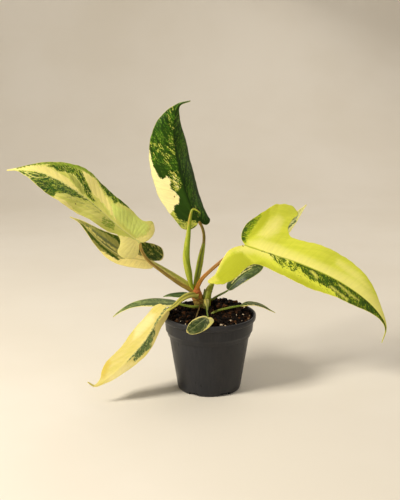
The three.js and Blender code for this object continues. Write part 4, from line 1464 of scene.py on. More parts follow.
GREEN_STALK = StalkFinish(
    "green_stalk", (150, 158, 52), (130, 152, 44), (92, 108, 30), (78, 94, 26), low_share=0.8
)
PALE_STALK = StalkFinish(
    "pale_stalk", (184, 170, 66), (214, 206, 112), (132, 140, 48), (150, 156, 56), low_share=0.7
)
FRONT_STALK = StalkFinish(
    "front_stalk", (188, 176, 90), (96, 116, 34), (96, 92, 34), (84, 84, 30), spread=0.25
)
SHADED_STALK = StalkFinish(
    "shaded_stalk", (92, 98, 30), (112, 128, 40), (60, 70, 24), (66, 62, 28), low_share=0.8
)
YELLOW_STALK = StalkFinish("yellow_stalk", (192, 184, 78), (204, 196, 84), (96, 98, 28), (90, 92, 26))
ORANGE_STALK = StalkFinish(
    "orange_stalk", (204, 136, 44), (166, 126, 44), (112, 68, 16), (112, 76, 26),
    slot="orange_stalk_skin", low_share=1.0,
)
TWO_SIDED_STALK = StalkFinish(
    "two_sided_stalk", (160, 134, 50), (196, 166, 78), (100, 74, 22), (134, 104, 40),
    slot="orange_stalk_skin", low_share=1.0, spread=0.4,
)
SHEATHED_STALK = StalkFinish(
    "sheathed_stalk", (166, 178, 40), (146, 116, 40), (110, 96, 18), (72, 90, 8), spread=0.12
)
# The spike's darker green low colour is painted shade, turned to its right side.
SPIKE_SKIN = StalkFinish(
    "spike_skin", (182, 188, 60), (180, 140, 64), (134, 156, 10), (124, 136, 16),
    low_share=0.9, middle=0.7, spread=0.15,
)
SIDE_SKIN = StalkFinish(
    "young_skin", (240, 222, 148), (204, 210, 90), (140, 150, 22), (156, 152, 54),
    slot="young_stem_skin", low_share=0.95, spread=0.3,
)
ROOT_SKIN = StalkFinish(
    "root_skin", (120, 92, 44), (104, 84, 36), (80, 62, 30), (66, 50, 26), slot="root_skin", roughness=0.65
)
BARK = BarkFinish("bark", (204, 176, 84), (122, 92, 32), (190, 106, 40))


def upper_left() -> Leaf:
    """The long leaf that points up and left."""
    shape = BladeShape(
        midrib=(
            (-76, -20, 174), (-97, -25, 192), (-128, -31, 222), (-158, -38, 245), (-184, -43, 257),
            (-200, -46, 259), (-212, -48, 258),
        ),
        facing=(
            (0.3, -0.75, 0.6), (0.3, -0.75, 0.6), (0.35, -0.7, 0.65), (0.35, -0.7, 0.65), (0.3, -0.65, 0.7),
            (0.2, -0.6, 0.75), (0.1, -0.6, 0.8),
        ),
        veins=(
            (0.004, 0, 5.5, -0.02, 3), (0.01, -0.02, 13, -0.04, 9), (0.018, -0.01, 20.5, -0.05, 17.5),
            (0.028, 0.03, 27, -0.04, 25), (0.04, 0.08, 30, 0, 30.5), (0.055, 0.11, 27, 0.04, 25),
            (0.07, 0.115, 19.5, 0.08, 23.5), (0.09, 0.13, 13, 0.14, 24.5), (0.12, 0.16, 10, 0.2, 25),
            (0.17, 0.23, 15.5, 0.3, 24.5), (0.27, 0.36, 20.5, 0.42, 26), (0.42, 0.53, 26, 0.56, 28.5),
            (0.57, 0.69, 25, 0.67, 23), (0.72, 0.81, 19, 0.78, 13), (0.84, 0.89, 10.5, 0.86, 6),
            (0.93, 0.94, 2.5, 0.94, 1.8),
        ),
        lift=((-0.1, 10, -6, 6, -6), (0.1, 12, -4, 12, -4), (0.8, 14, -4, 14, -4), (1, 10, 0, 10, 0)),
        wave=(0.8, 47, 0.6),
    )
    finish = LeafFinish(
        "sage_skin", "sage_leaf", ground=(230, 226, 122), shade=(210, 212, 98),
        layers=(
            Layer(LIME, (220, 230, 120), stray=1.2, soft=3.0, lively=0.05),
            Layer(CREAM, (252, 238, 146), stray=0.9, soft=0.6, lively=0.03),
            Layer(SAGE, (170, 174, 82), stray=0.9, soft=0.8, lively=0.12),
            Layer(DARK, (48, 82, 13), stray=1.35, lively=0.5, fleck=(164, 178, 62), flecks=0.23),
            Layer(FLECK, (134, 156, 46), stray=1.2, soft=1.4, lively=0.3),
            Layer(PALE, (228, 224, 124), stray=0.4, soft=0.4, lively=0.05),
            Layer(SPOT, (112, 74, 34), stray=0.15),
        ),
        rib=(226, 220, 142), rib_share=0.9, rim=(226, 216, 118), rim_width=0.4, grain=0.4, vein_depth=0.06,
        seed=3.1,
    )
    marks = (
        Mark(FLECK, (
            (136, 8.4), (124, 13), (112, 19), (101, 22.6), (88, 24.6), (80, 26), (80, 34), (120, 34),
            (138, 18),
        ), cover=1.2),
        Mark(DARK, (
            (158, 0.6), (150, 2.6), (142, 5.2), (133, 9.6), (124, 14.6), (124, 19), (136, 14), (146, 9),
            (158, 5),
        ), cover=1.0),
        Mark(PALE, (
            (153, -4.2), (146, -5), (138, -4.6), (132, -4), (132, -4.8), (138, -5.7), (146, -6.2),
            (152, -5.6),
        )),
        Mark(PALE, (
            (150, -6), (147, -6.4), (143.3, -9), (138.6, -9.9), (134.1, -9.2), (130, -5.6), (124, -2.9),
            (118, -3.2), (118, -4.2), (124, -4), (129, -6.2), (134.5, -10.6), (138.6, -11.4), (144, -10.6),
            (148.5, -7.6),
        )),
        Mark(FLECK, ((112, -3), (96, -2.4), (84, -2), (86, -5), (98, -7), (110, -7)), cover=-0.2),
        Mark(LIME, (
            (60, 8), (46, 17), (30, 23), (8, 24), (1, 23), (0, 12), (7, 3), (18, 4), (33, 5), (47, 4),
        )),
        Mark(CREAM, (
            (176, -1), (160, 3), (145, 5), (129, 8), (122, 8), (115, 7), (106, 7.5), (98, 5), (88, 1),
            (76, -1), (95, -1), (113, -0.5), (131, -1), (150, -1.6),
        )),
        Mark(CREAM, (
            (100, 25), (91, 19.5), (85, 14), (75, 9), (60, 7.5), (46, 4.5), (36, 3), (50, 11), (60, 16),
            (70, 21), (80, 25.5),
        )),
        Mark(CREAM, (
            (112, -24), (100, -21.5), (80, -23.5), (60, -23.5), (45, -21), (30, -17), (24, -20), (28, -32),
            (60, -32), (100, -30),
        ), cover=1.2),
        Mark(CREAM, ((24, -8), (14, -3), (3, -1), (-6, -6), (-10, -20), (0, -34), (18, -36), (28, -26))),
        Mark(CREAM, ((6, 1), (3, 6), (-1.5, 12), (-1.5, 22), (-1, 28), (-12, 30), (-14, 2))),
        Mark(DARK, (
            (129, 9), (122, 16), (111, 21.5), (103, 23), (97, 23), (91, 20), (88, 15), (81, 12.5), (76, 8),
            (67, 4), (69, 2), (79, 3), (88, 8), (92, 11), (99, 14), (104, 13), (111, 12), (115, 9),
            (122, 10),
        ), cover=1.3),
        Mark(DARK, (
            (80, 25.5), (69, 30), (51, 30), (26, 29), (34, 24.5), (39, 22), (47, 21), (49, 17), (56, 18),
            (62, 18), (67, 20), (71, 23),
        )),
        Mark(DARK, (
            (146, 6.5), (131, 12.5), (123, 17), (112, 22.5), (112, 26), (125, 22), (138, 14),
        ), cover=0.6),
        Mark(DARK, ((116, 22), (100, 25), (88, 26), (74, 27), (74, 31), (92, 31), (116, 28)), cover=0.6),
        Mark(DARK, (
            (160, -2.4), (148, -4), (131, -1.6), (118, -1.2), (103, -1.0), (86, -0.6), (74, -1), (77, -4),
            (87, -8), (99, -13), (105, -16), (111, -19), (110, -23), (115, -27), (126, -25), (139, -17),
            (151, -9),
        ), cover=2.4),
        Mark(DARK, ((86, -0.9), (70, -1.0), (56, -1.0), (56, -0.2), (70, 0), (86, 0.3))),
        Mark(FLECK, ((51, -5.8), (45, -1), (35, -1), (33, -8), (42, -12.1), (49, -12.7)), cover=0.6),
        Mark(SAGE, (
            (106, 12), (99, 13), (92, 10.5), (88, 8), (81, 3), (84, 0.8), (93, 4.5), (101, 8),
        ), cover=1.4),
        Mark(SAGE, (
            (156, -3), (140, -3), (124, -4), (112, -5), (112, -9), (128, -8), (142, -7), (152, -6),
        ), cover=0.0),
        Mark(SAGE, ((108, -8), (92, -5), (82, -3), (84, -6), (98, -11), (108, -13)), cover=0.0),
        Mark(SAGE, ((98, -15), (80, -9), (56, -4), (60, -7), (80, -12), (98, -18)), cover=-0.4),
        Mark(SPOT, ((86.5, -16), (85, -14.5), (83.5, -16), (85, -17.5))),
    )
    tube = Tube(
        points=(
            (-14, 4, 108), (-22, 0, 115.5), (-33, -3, 122.5), (-44, -7, 131.5), (-55, -11, 141),
            (-66, -15, 151), (-71, -17, 157.5), (-75, -18.7, 166), (-76.2, -19.4, 173),
        ),
        radii=(
            (3.4, 3), (2.8, 2.4), (2.2, 2), (2, 1.8), (1.9, 1.7), (1.8, 1.7), (1.8, 1.7), (1.8, 1.6),
            (1.6, 1.4),
        ),
    )
    return Leaf("leaf_upper_left", shape, finish, marks, Stalk(tube, TWO_SIDED_STALK))


def lower_left() -> Leaf:
    """The narrower leaf under it."""
    shape = BladeShape(
        midrib=(
            (-66, 8, 146), (-78, 9, 148), (-101, 12, 152), (-124, 16, 167), (-147, 22, 189), (-158, 24, 194),
        ),
        facing=(
            (0.1, -0.85, 0.45), (0.1, -0.85, 0.45), (0.15, -0.85, 0.45), (0.2, -0.85, 0.45),
            (0.2, -0.85, 0.45), (0.2, -0.85, 0.45),
        ),
        veins=(
            (0.006, -0.03, 3.5, -0.05, 2), (0.015, -0.03, 7.5, -0.1, 3), (0.03, 0.01, 9.5, -0.12, 8.5),
            (0.06, 0.07, 10.5, -0.08, 17.5), (0.1, 0.14, 11, 0.01, 20.5), (0.17, 0.21, 11, 0.11, 20.5),
            (0.26, 0.3, 11, 0.25, 21), (0.38, 0.41, 11, 0.44, 19), (0.52, 0.54, 8.5, 0.59, 14),
            (0.68, 0.7, 5, 0.72, 9), (0.82, 0.84, 2.5, 0.84, 4), (0.93, 0.94, 1, 0.94, 1),
        ),
        lift=((-0.1, 8, -6, 8, -6), (0.1, 12, -4, 12, -4), (1, 14, -4, 14, -4)),
        wave=(0.7, 40, 2),
    )
    finish = LeafFinish(
        "mottled_skin", "dark_leaf", ground=(150, 146, 76), shade=(128, 130, 60),
        layers=(
            Layer(CREAM, (244, 226, 144), stray=0.8, soft=0.6, lively=0.03),
            Layer(SAGE, (196, 184, 104), stray=1.2, soft=0.8, lively=0.1),
            Layer(FLECK, (96, 102, 60), stray=0.7, soft=0.4, lively=0.2),
            Layer(DARK, (50, 74, 14), stray=0.8, lively=0.35, fleck=(120, 130, 50), flecks=0.12),
            Layer(LIME, (214, 204, 104), stray=1.5),
        ),
        rib=(206, 194, 116), rim=(226, 212, 124), seed=7.7,
    )
    marks = (
        Mark(SAGE, ((88, 1.2), (60, 1.6), (38, 3.2), (38, 5.0), (60, 3.4), (84, 2.6)), cover=1.2),
        Mark(CREAM, (
            (30, -2), (20, 8), (12, 4), (-4, 0), (-6, -16), (14, -16), (30, -15), (60, -13), (56, -7.5),
            (42, -5),
        )),
        Mark(SAGE, ((48, -2), (34, 1), (14, -3), (2, -6), (10, -9), (30, -7), (46, -8)), cover=-1.8),
        Mark(DARK, (
            (104, 1), (88, 4.4), (74, 9), (60, 12.6), (50, 13.4), (44, 11), (38, 13), (38, 26), (64, 24),
            (88, 13), (104, 5),
        )),
        Mark(FLECK, (
            (88, 1.6), (75, 3.0), (58, 4.2), (42, 4.6), (40, 7.5), (56, 7.4), (74, 5.4), (88, 2.6),
        )),
        Mark(DARK, (
            (92, -0.4), (74, -0.8), (60, -1.6), (44, -2.4), (34, -4.4), (36, -6.6), (50, -5.4), (62, -4.4),
            (78, -3),
        ), cover=1.0),
        Mark(FLECK, ((76, 3.0), (60, 0.6), (44, 0.0), (30, -2), (38, 0.8), (48, 2.6), (62, 2.4)), cover=1.0),
        Mark(DARK, ((92, 0.4), (80, -1.4), (70, -3.6), (70, -8), (84, -5), (94, -2)), cover=1.4),
        Mark(DARK, ((24, 26), (4, 26), (-14, 22), (-16, 4), (-5, 1), (8, 3.4), (16, 9), (20, 16))),
        Mark(LIME, ((20, 22), (-4, 20), (-12, 8), (8, 6)), cover=-1.7),
    )
    tube = Tube(
        points=(
            (-15, 5, 108), (-23, 4, 118.4), (-33, 5, 126), (-44, 6, 133), (-56, 7, 140.4), (-65, 7.8, 145.6),
        ),
        radii=((3.2, 3), (3.2, 3), (3, 2.6), (2.6, 2.2), (2, 1.8), (1.5, 1.3)),
    )
    return Leaf("leaf_lower_left", shape, finish, marks, Stalk(tube, PALE_STALK))


def upright() -> Leaf:
    """The tall leaf in the middle."""
    shape = BladeShape(
        midrib=(
            (-12, 9, 192), (-22, 8, 211), (-33, 10, 247), (-39, 14, 278), (-39, 18, 304), (-34, 20, 320),
            (-21, 16, 325),
        ),
        facing=(
            (0.35, -0.93, 0.1), (0.35, -0.93, 0.1), (0.35, -0.93, 0.1), (0.35, -0.93, 0.1),
            (0.35, -0.93, 0.1), (0.35, -0.9, 0.2), (0.2, -0.9, 0.4),
        ),
        veins=(
            (0.005, -0.02, 3.5, -0.03, 2.5), (0.012, -0.03, 11, -0.06, 7.5),
            (0.02, -0.02, 16.5, -0.06, 14.5), (0.03, 0.01, 21, -0.045, 17.5),
            (0.05, 0.09, 23.5, -0.01, 17.5), (0.09, 0.17, 27, 0.04, 19), (0.16, 0.25, 31, 0.1, 23),
            (0.25, 0.34, 32.5, 0.19, 27), (0.36, 0.45, 32.5, 0.31, 28.5), (0.48, 0.56, 30.5, 0.45, 29),
            (0.6, 0.68, 26, 0.59, 26.5), (0.71, 0.77, 19, 0.71, 19), (0.81, 0.84, 10.5, 0.81, 10.5),
            (0.9, 0.9, 2.5, 0.9, 2.5),
        ),
        lift=(
            (-0.1, -20, -6, -24, -6), (0.2, -28, -5, -32, -6), (0.8, -28, -5, -32, -5), (1, -20, 0, -20, 0),
        ),
        wave=(0.8, 52, 1),
        veined=0.5,
    )
    finish = LeafFinish(
        "dark_skin", "dark_leaf", ground=(30, 56, 2), shade=(42, 72, 8),
        layers=(
            Layer(SAGE, (58, 98, 14), stray=1.8, soft=0.9, lively=0.35, fleck=(110, 140, 40), flecks=0.1),
            Layer(LIME, (176, 180, 76), stray=1.7, lively=0.2),
            Layer(CREAM, (240, 230, 164), stray=0.9, lively=0.02),
            Layer(FLECK, (66, 98, 24), stray=1.4, lively=0.4, fleck=(200, 196, 90), flecks=0.25),
            Layer(SPOT, (130, 84, 40), stray=0.15),
        ),
        rib=(44, 70, 14), rib_share=0.5, rim=(188, 190, 104), rim_width=0.45, roughness=0.38, gloss=0.12,
        vein_depth=0.05, seed=12.4,
    )
    marks = (
        Mark(SAGE, (
            (150, -1), (62, -1.2), (58, -12), (74, -27), (90, -36), (125, -26), (150, -8),
        ), cover=-1.0),
        Mark(SAGE, (
            (140, 3), (104, 3), (70, 5), (44, 6), (44, 10), (72, 11), (104, 9), (140, 6),
        ), cover=0.0),
        Mark(SAGE, ((120, 8), (80, 13), (30, 10), (30, 18), (82, 24), (120, 14)), cover=0.6),
        # Lighter sage at the foot of the right half: partly real mottling, partly painted light on a shaded
        # corner.
        Mark(SAGE, ((44, 4), (20, 3), (6, 4), (-4, 10), (4, 18), (24, 20), (44, 18)), cover=0.3),
        Mark(LIME, ((94, -27), (92, -14), (86, -3), (74, -2), (70, -9), (76, -22), (84, -29)), cover=-1.5),
        Mark(LIME, ((118, -4), (104, 1.5), (84, 1.5), (78, -3), (92, -4)), cover=-1.8),
        Mark(LIME, ((142, -4), (128, -5), (112, -8), (124, -12), (140, -8)), cover=-2.0),
        Mark(CREAM, (
            (96, -38), (88, -28.5), (75, -28), (63, -26), (56, -21), (59, -15), (54, -12.4), (45, -14.6),
            (39, -10.1), (32, -7.7), (27, -10.6), (26, -16.3), (22, -18.8), (20, -26), (16, -34), (40, -40),
            (70, -40),
        )),
        Mark(CREAM, ((58, -9), (52, -2.6), (44, -3.6), (42, -6), (48, -9)), cover=0.2),
        Mark(FLECK, ((64, -12), (60, -2), (44, -1.4), (39, -8), (46, -13.5), (55, -11.5)), cover=0.3),
        Mark(LIME, (
            (24, -22), (20, -19.5), (13, -19), (6, -14), (3, -3), (-2, -3), (-4, -14), (-2, -24), (14, -30),
        ), cover=0.9),
        Mark(FLECK, ((20, -24), (12, -19), (6, -13), (2, -4), (-2, -8), (2, -20), (12, -28)), cover=0.2),
        Mark(FLECK, ((16, 2), (18, 6), (12, 10), (6, 8), (4, 3), (9, 1)), cover=-0.8),
        Mark(SPOT, ((36.5, -13), (35, -11.6), (33.5, -13), (35, -14.4))),
    )
    tube = Tube(
        points=(
            (-15, 5, 108), (-15, 4, 119), (-13, 6, 132), (-10.5, 8, 145), (-8.2, 9, 157), (-6.2, 10, 168),
            (-6.2, 11, 177), (-8.5, 11, 185.5), (-11.6, 9.4, 191.4),
        ),
        radii=(3, (3, 2.8), (3.6, 2.4), (3.6, 2.2), (2.9, 2), 1.7, 1.7, (1.7, 1.6), (1.5, 1.3)),
    )
    return Leaf("leaf_upright", shape, finish, marks, Stalk(tube, SHEATHED_STALK))


def lobed_right() -> Leaf:
    """The big lobed leaf on the right."""
    shape = BladeShape(
        midrib=(
            (39, -10, 169), (61, -14, 162), (99, -22, 151), (142, -32, 133), (175, -40, 110), (190, -44, 91),
            (192, -45, 82), (188, -46, 68),
        ),
        facing=(
            (0.1, -0.78, 0.62), (0.15, -0.78, 0.62), (0.2, -0.76, 0.64), (0.3, -0.74, 0.62),
            (0.5, -0.7, 0.5), (0.6, -0.7, 0.35), (0.7, -0.65, 0.2), (0.75, -0.65, 0),
        ),
        veins=(
            (0.004, -0.01, 1.8, -0.02, 2), (0.01, -0.03, 6, -0.07, 11), (0.016, -0.04, 14, -0.09, 25.5),
            (0.022, -0.03, 25.5, -0.1, 42), (0.03, 0.01, 38, -0.125, 51.5), (0.036, 0.04, 47, -0.09, 52.5),
            (0.044, 0.08, 59, -0.04, 49), (0.052, 0.13, 66.5, 0, 42), (0.06, 0.19, 68.5, 0.03, 32),
            (0.075, 0.22, 63, 0.05, 23.5), (0.105, 0.2, 49.5, 0.075, 17.5), (0.135, 0.195, 37, 0.11, 15),
            (0.17, 0.22, 29, 0.15, 15.5), (0.22, 0.28, 28, 0.22, 18), (0.3, 0.36, 31, 0.31, 20.5),
            (0.39, 0.45, 32.5, 0.42, 21), (0.5, 0.55, 31.5, 0.54, 18.5), (0.62, 0.66, 25.5, 0.67, 14.5),
            (0.74, 0.76, 15, 0.77, 8.5), (0.85, 0.84, 6, 0.86, 3.2), (0.93, 0.91, 1.5, 0.92, 1.5),
        ),
        lift=(
            (-0.1, 6, 4, -8, -5), (0.1, 8, -2, -12, -4), (0.3, 8, -4, -14, -4), (0.8, 8, -5, -14, -4),
            (1, 5, 0, -5, 0),
        ),
        wave=(0.9, 60, 0),
        veined=0.35,
    )
    finish = LeafFinish(
        "lime_skin", "lime_leaf", ground=(224, 226, 76), shade=(214, 219, 66),
        layers=(
            # Cream, partly the real cream band and partly painted highlight: its wide soft edge paints a
            # pale glow.
            Layer(CREAM, (244, 238, 132), stray=0.8, soft=8.0, lively=0.0),
            # Olive sage here is painted shade, on the upper lobe's folded back edge and over the lower half.
            Layer(SAGE, (190, 195, 44), stray=0.7, soft=3.5, lively=0.0),
            Layer(FLECK, (120, 144, 10), stray=0.9, soft=1.2, lively=0.3, fleck=(196, 200, 44), flecks=0.14),
            Layer(DARK, (60, 88, 6), stray=1.2, lively=0.45, fleck=(158, 172, 34), flecks=0.14),
            Layer(LIME, (228, 224, 100), stray=0.8, soft=2.8, lively=0.0),
        ),
        rib=(126, 134, 40), rib_share=0.5, rim=(238, 228, 120), rim_width=0.45, grain=0.45, vein_depth=0.03,
        seed=18.2, glow=0.3,
    )
    marks = (
        # The cream band above the midrib and pale patches on the upper lobe: real cream with painted
        # highlight round it.
        Mark(CREAM, (
            (6, 8), (60, 8), (120, 8), (178, 8), (180, -6), (160, -12), (130, -13), (100, -10), (60, -10),
            (30, -13), (14, -12), (4, -5),
        ), side=Side.LEFT),
        Mark(CREAM, ((10, -16), (16, -36), (24, -48), (31, -46), (30, -28), (20, -16))),
        Mark(CREAM, ((100, -24), (124, -22), (146, -14), (140, -11), (118, -14), (100, -19)), cover=3.0),
        Mark(CREAM, (
            (-2, -1), (30, -5), (52, -2), (52, 1.4), (30, 4), (14, 4), (2, 9), (-6, 12), (-5, 2),
        ), side=Side.RIGHT),
        # Painted shade: olive along the upper lobe's folded back edge.
        Mark(SAGE, (
            (-1, -6), (3, -10), (8, -18), (13, -30), (15, -42), (11, -52), (4, -48), (4, -30), (0, -16),
        )),
        # Painted shade: olive over the lower half below the dark band and over the low lobe.
        Mark(SAGE, (
            (16, 16), (24, 10), (42, 12), (66, 15), (91, 15.5), (120, 17), (92, 24), (60, 23), (26, 20),
            (13, 24), (7, 42), (-4, 50), (-16, 50), (-20, 40), (-16, 24), (-8, 12), (0, 8), (6, 12),
        ), cover=4.0),
        Mark(LIME, (
            (-2, 3), (-10, 11), (-15, 22), (-17, 34), (-19, 44), (-14, 47), (-28, 60), (-26, 44), (-22, 28),
            (-18, 12), (-8, 2),
        )),
        Mark(FLECK, (
            (5, -44), (6, -37), (4.5, -30), (2, -20), (0, -12), (0, -3), (-8, -2), (-14, -12), (-14, -26),
            (-8, -42),
        )),
        Mark(DARK, (
            (0, -35), (1, -30), (-2, -26), (-3.5, -15), (-2, -9), (-1, -4), (-8, -3), (-14, -12), (-14, -26),
            (-10, -38),
        )),
        Mark(DARK, (
            (58, -5), (60, 3.4), (67, 4.6), (70, 8.4), (80, 11.2), (94, 12), (113, 14), (124, 20), (140, 20),
            (165, 12), (190, 6), (184, -5), (150, -5), (95, -5), (60, -5),
        ), side=Side.RIGHT),
        Mark(DARK, (
            (26, -4), (30, 1.2), (35, 4.4), (42, 8), (51, 10.4), (58, 11.4), (67, 5), (70, -2), (50, -4),
        ), cover=0.35, side=Side.RIGHT),
        Mark(DARK, (
            (28, 1), (40, 5), (44, 11), (62, 12.5), (84, 14.5), (106, 16), (130, 20), (130, 8), (60, 2),
        ), cover=-1.1, side=Side.RIGHT),
        Mark(DARK, ((34, 0.5), (20, 0.3), (20, -0.4), (34, -0.4)), cover=0.3),
        Mark(LIME, ((88, 8.6), (81, 5.4), (77, 3.2), (80, 2.4), (88, 6)), cover=0.8),
        Mark(LIME, ((140, 5.5), (124, 4.5), (112, 2.6), (112, 4), (128, 7)), cover=1.0),
        Mark(LIME, ((130, 12), (116, 11), (104, 9), (104, 10.4), (118, 13), (130, 14)), cover=0.6),
    )
    tube = Tube(
        points=(
            (-15, 5, 107), (-14, 2, 116), (-8.3, -1, 128), (0.7, -4, 138), (10, -6, 147), (18, -8, 154),
            (29, -9.4, 163), (37.4, -9.8, 167.8),
        ),
        radii=(3, (2.9, 2.7), (2.2, 2.1), (2, 1.9), (2, 1.8), (1.9, 1.8), (1.8, 1.7), (1.6, 1.4)),
    )
    return Leaf("leaf_lobed_right", shape, finish, marks, Stalk(tube, ORANGE_STALK))


def drooping() -> Leaf:
    """The pale leaf that hangs over the rim."""
    shape = BladeShape(
        midrib=(
            (-46, -28, 100), (-58, -36, 87), (-73, -44, 66), (-98, -52, 41), (-120, -56, 24),
            (-126, -57, 22), (-133, -58, 27),
        ),
        facing=(
            (-0.3, -0.65, 0.65), (-0.35, -0.65, 0.65), (-0.4, -0.65, 0.6), (-0.4, -0.65, 0.6),
            (-0.3, -0.65, 0.65), (-0.15, -0.65, 0.75), (0, -0.65, 0.75),
        ),
        veins=(
            (0.005, 0, 2.5, -0.01, 2.5), (0.012, 0.02, 4.5, -0.01, 8), (0.025, 0.05, 6, -0.01, 13.5),
            (0.05, 0.09, 7, 0.03, 18), (0.09, 0.13, 7, 0.09, 20), (0.15, 0.19, 7.5, 0.18, 22),
            (0.23, 0.26, 8.5, 0.28, 25), (0.32, 0.34, 10, 0.41, 25.5), (0.42, 0.42, 11, 0.54, 23.5),
            (0.53, 0.52, 9.5, 0.66, 22), (0.65, 0.65, 7, 0.75, 20), (0.76, 0.77, 5, 0.81, 14.5),
            (0.86, 0.85, 2.5, 0.86, 6), (0.93, 0.92, 1.2, 0.92, 2),
        ),
        lift=(
            (-0.1, -60, 0, 0, -6), (0.1, -60, -2, -6, -4), (0.3, -38, -3, -6, -4), (0.7, -30, -3, -6, -4),
            (1, -10, 0, -4, 0),
        ),
        wave=(0.7, 43, 0),
        veined=0.6,
    )
    finish = LeafFinish(
        "cream_skin", "cream_leaf", ground=(218, 202, 124), shade=(210, 196, 100),
        layers=(
            Layer(CREAM, (232, 218, 152), stray=0.6, soft=5.0, lively=0.0),
            Layer(LIME, (206, 184, 82), stray=0.6, soft=4.0, lively=0.0),
            Layer(SAGE, (196, 184, 92), stray=0.8, soft=1.6, lively=0.12),
            Layer(DARK, (84, 102, 54), stray=0.9, lively=0.35, fleck=(176, 176, 104), flecks=0.16),
        ),
        rib=(216, 196, 100), rib_share=0.3, rim=(232, 218, 138), grain=0.25, vein_depth=0.04, seed=23.9,
        glow=0.3,
    )
    marks = (
        Mark(CREAM, ((26, 23), (13, 17), (12, 10), (21, 5), (34, 9), (43, 11), (50, 16), (38, 24))),
        Mark(CREAM, ((101, -3), (97, -1), (78, -1), (70, -4), (66, -8), (84, -8), (96, -6))),
        Mark(DARK, (
            (-2, 3.6), (5, 4.2), (13, 2.9), (21, 1.6), (29, 0.6), (29, -1.8), (23, -0.8), (14, 0.3),
            (5, 0.9), (-2, 1.4),
        ), cover=0.8),
        Mark(DARK, (
            (26, 0.4), (35, 0.8), (43, 0.4), (50, 0.2), (55, 0.4), (63, 0.4), (70, 0.6), (73, -0.8),
            (66, -1.2), (62, -1.8), (66, -3.6), (67, -6.2), (63, -6.4), (58, -7.2), (51, -8.6), (45, -9.3),
            (41, -8.0), (35, -5.6), (30, -5.0), (26, -1.8),
        )),
        Mark(LIME, ((88, 24), (101, 18), (108, 7), (103, 3), (95, 9), (87, 14))),
        Mark(SAGE, ((116, -4), (135, -4), (135, 4), (119, 4))),
    )
    tube = Tube(
        points=(
            (-14, 6, 104), (-16, -2, 109.5), (-24, -12, 111.5), (-31, -19, 109.5), (-37, -24, 105),
            (-42, -26.6, 102), (-45.6, -28, 99.6),
        ),
        radii=(3, (4, 2.4), (3.8, 1.9), (3.2, 1.7), (2.6, 1.6), (2, 1.5), (1.5, 1.2)),
        up=(-0.3, -0.8, 0.5),
    )
    return Leaf("leaf_drooping", shape, finish, marks, Stalk(tube, YELLOW_STALK, furrow=0.34))


def side_left() -> Leaf:
    """The small leaf that reaches out left."""
    shape = SmallBlade(
        midrib=(
            (-35, -3, 100), (-47, -4, 101.5), (-61, -6, 102.5), (-78, -8, 101.5), (-91, -10, 97.5),
            (-103, -12, 91), (-108, -13, 87),
        ),
        facing=((0, -0.5, 0.85),) * 2,
        veins=(
            (0.01, 0.04, 4.5, 0.03, 4.5), (0.06, 0.11, 7.5, 0.1, 6.5), (0.16, 0.23, 9.5, 0.23, 7.5),
            (0.32, 0.39, 8.5, 0.39, 7.5), (0.52, 0.57, 6, 0.57, 6), (0.72, 0.75, 3, 0.75, 4),
            (0.88, 0.9, 1.4, 0.9, 2),
        ),
        lift=((0, 12, -6, -14, -6), (1, 12, -6, -10, -6)),
        wave=(0.4, 31, 0),
    )
    finish = LeafFinish(
        "side_skin", "grey_leaf", ground=(72, 92, 52), shade=(92, 110, 62),
        layers=(
            Layer(SAGE, (128, 142, 84), stray=1.4, lively=0.2),
            Layer(LIME, (182, 192, 80), stray=1.2),
            Layer(CREAM, (236, 226, 140), stray=0.6),
        ),
        rib=(140, 150, 86), seed=29.3,
    )
    marks = (
        Mark(CREAM, (
            (0, -3), (12, -5.6), (30, -6.8), (55, -4.6), (84, -1.2), (84, -5), (50, -12), (20, -14), (2, -9),
        )),
        Mark(SAGE, ((12, -1), (40, -2), (70, -1), (66, 3), (40, 5), (14, 4)), cover=-0.2),
        Mark(LIME, ((80, 3), (60, 4), (60, 9), (82, 7)), cover=0.4),
    )
    tube = Tube(
        points=(
            (-9.5, 9, 97), (-10, 2, 95.5), (-15, -2.6, 95.8), (-24, -3.8, 96.8), (-31, -3.6, 98.6),
            (-34.7, -3.1, 99.7),
        ),
        radii=(1.6, 1.6, 1.5, (1.4, 1.3), (1.3, 1.1), (1.1, 0.9)),
    )
    return Leaf("leaf_side_left", shape, finish, marks, ThinStalk(tube, GREEN_STALK))


def back_left() -> Leaf:
    """The small leaf behind on the left."""
    shape = SmallBlade(
        midrib=((-22, 20, 103.5), (-30, 22, 102.8), (-38, 24, 102), (-46, 26, 101), (-53, 27, 99)),
        facing=((0, -0.5, 0.85),) * 2,
        veins=(
            (0.03, 0.08, 3, 0.08, 3), (0.16, 0.25, 4.5, 0.28, 4.5), (0.42, 0.5, 4.5, 0.52, 4),
            (0.72, 0.78, 2.6, 0.78, 2.4),
        ),
        lift=((0, 10, -6, 0, -6),),
        wave=(0.3, 20, 0),
    )
    finish = LeafFinish(
        "back_skin", "grey_leaf", ground=(50, 78, 34), shade=(70, 96, 44),
        layers=(
            Layer(SAGE, (108, 128, 66), stray=1.4, lively=0.2),
        ),
        rib=(120, 142, 78), rim=(150, 166, 80), seed=31.8,
    )
    marks = (
        Mark(SAGE, ((4, -1), (18, -2), (30, -1), (26, 3), (8, 3)), cover=-0.8),
    )
    tube = Tube(
        points=((-10, 9.5, 97), (-13, 14, 101.5), (-17, 18, 103.5), (-21.6, 19.8, 103.2)),
        radii=(1.5, 1.4, (1.2, 1.1), (1, 0.9)),
    )
    return Leaf("leaf_back_left", shape, finish, marks, ThinStalk(tube, GREEN_STALK))


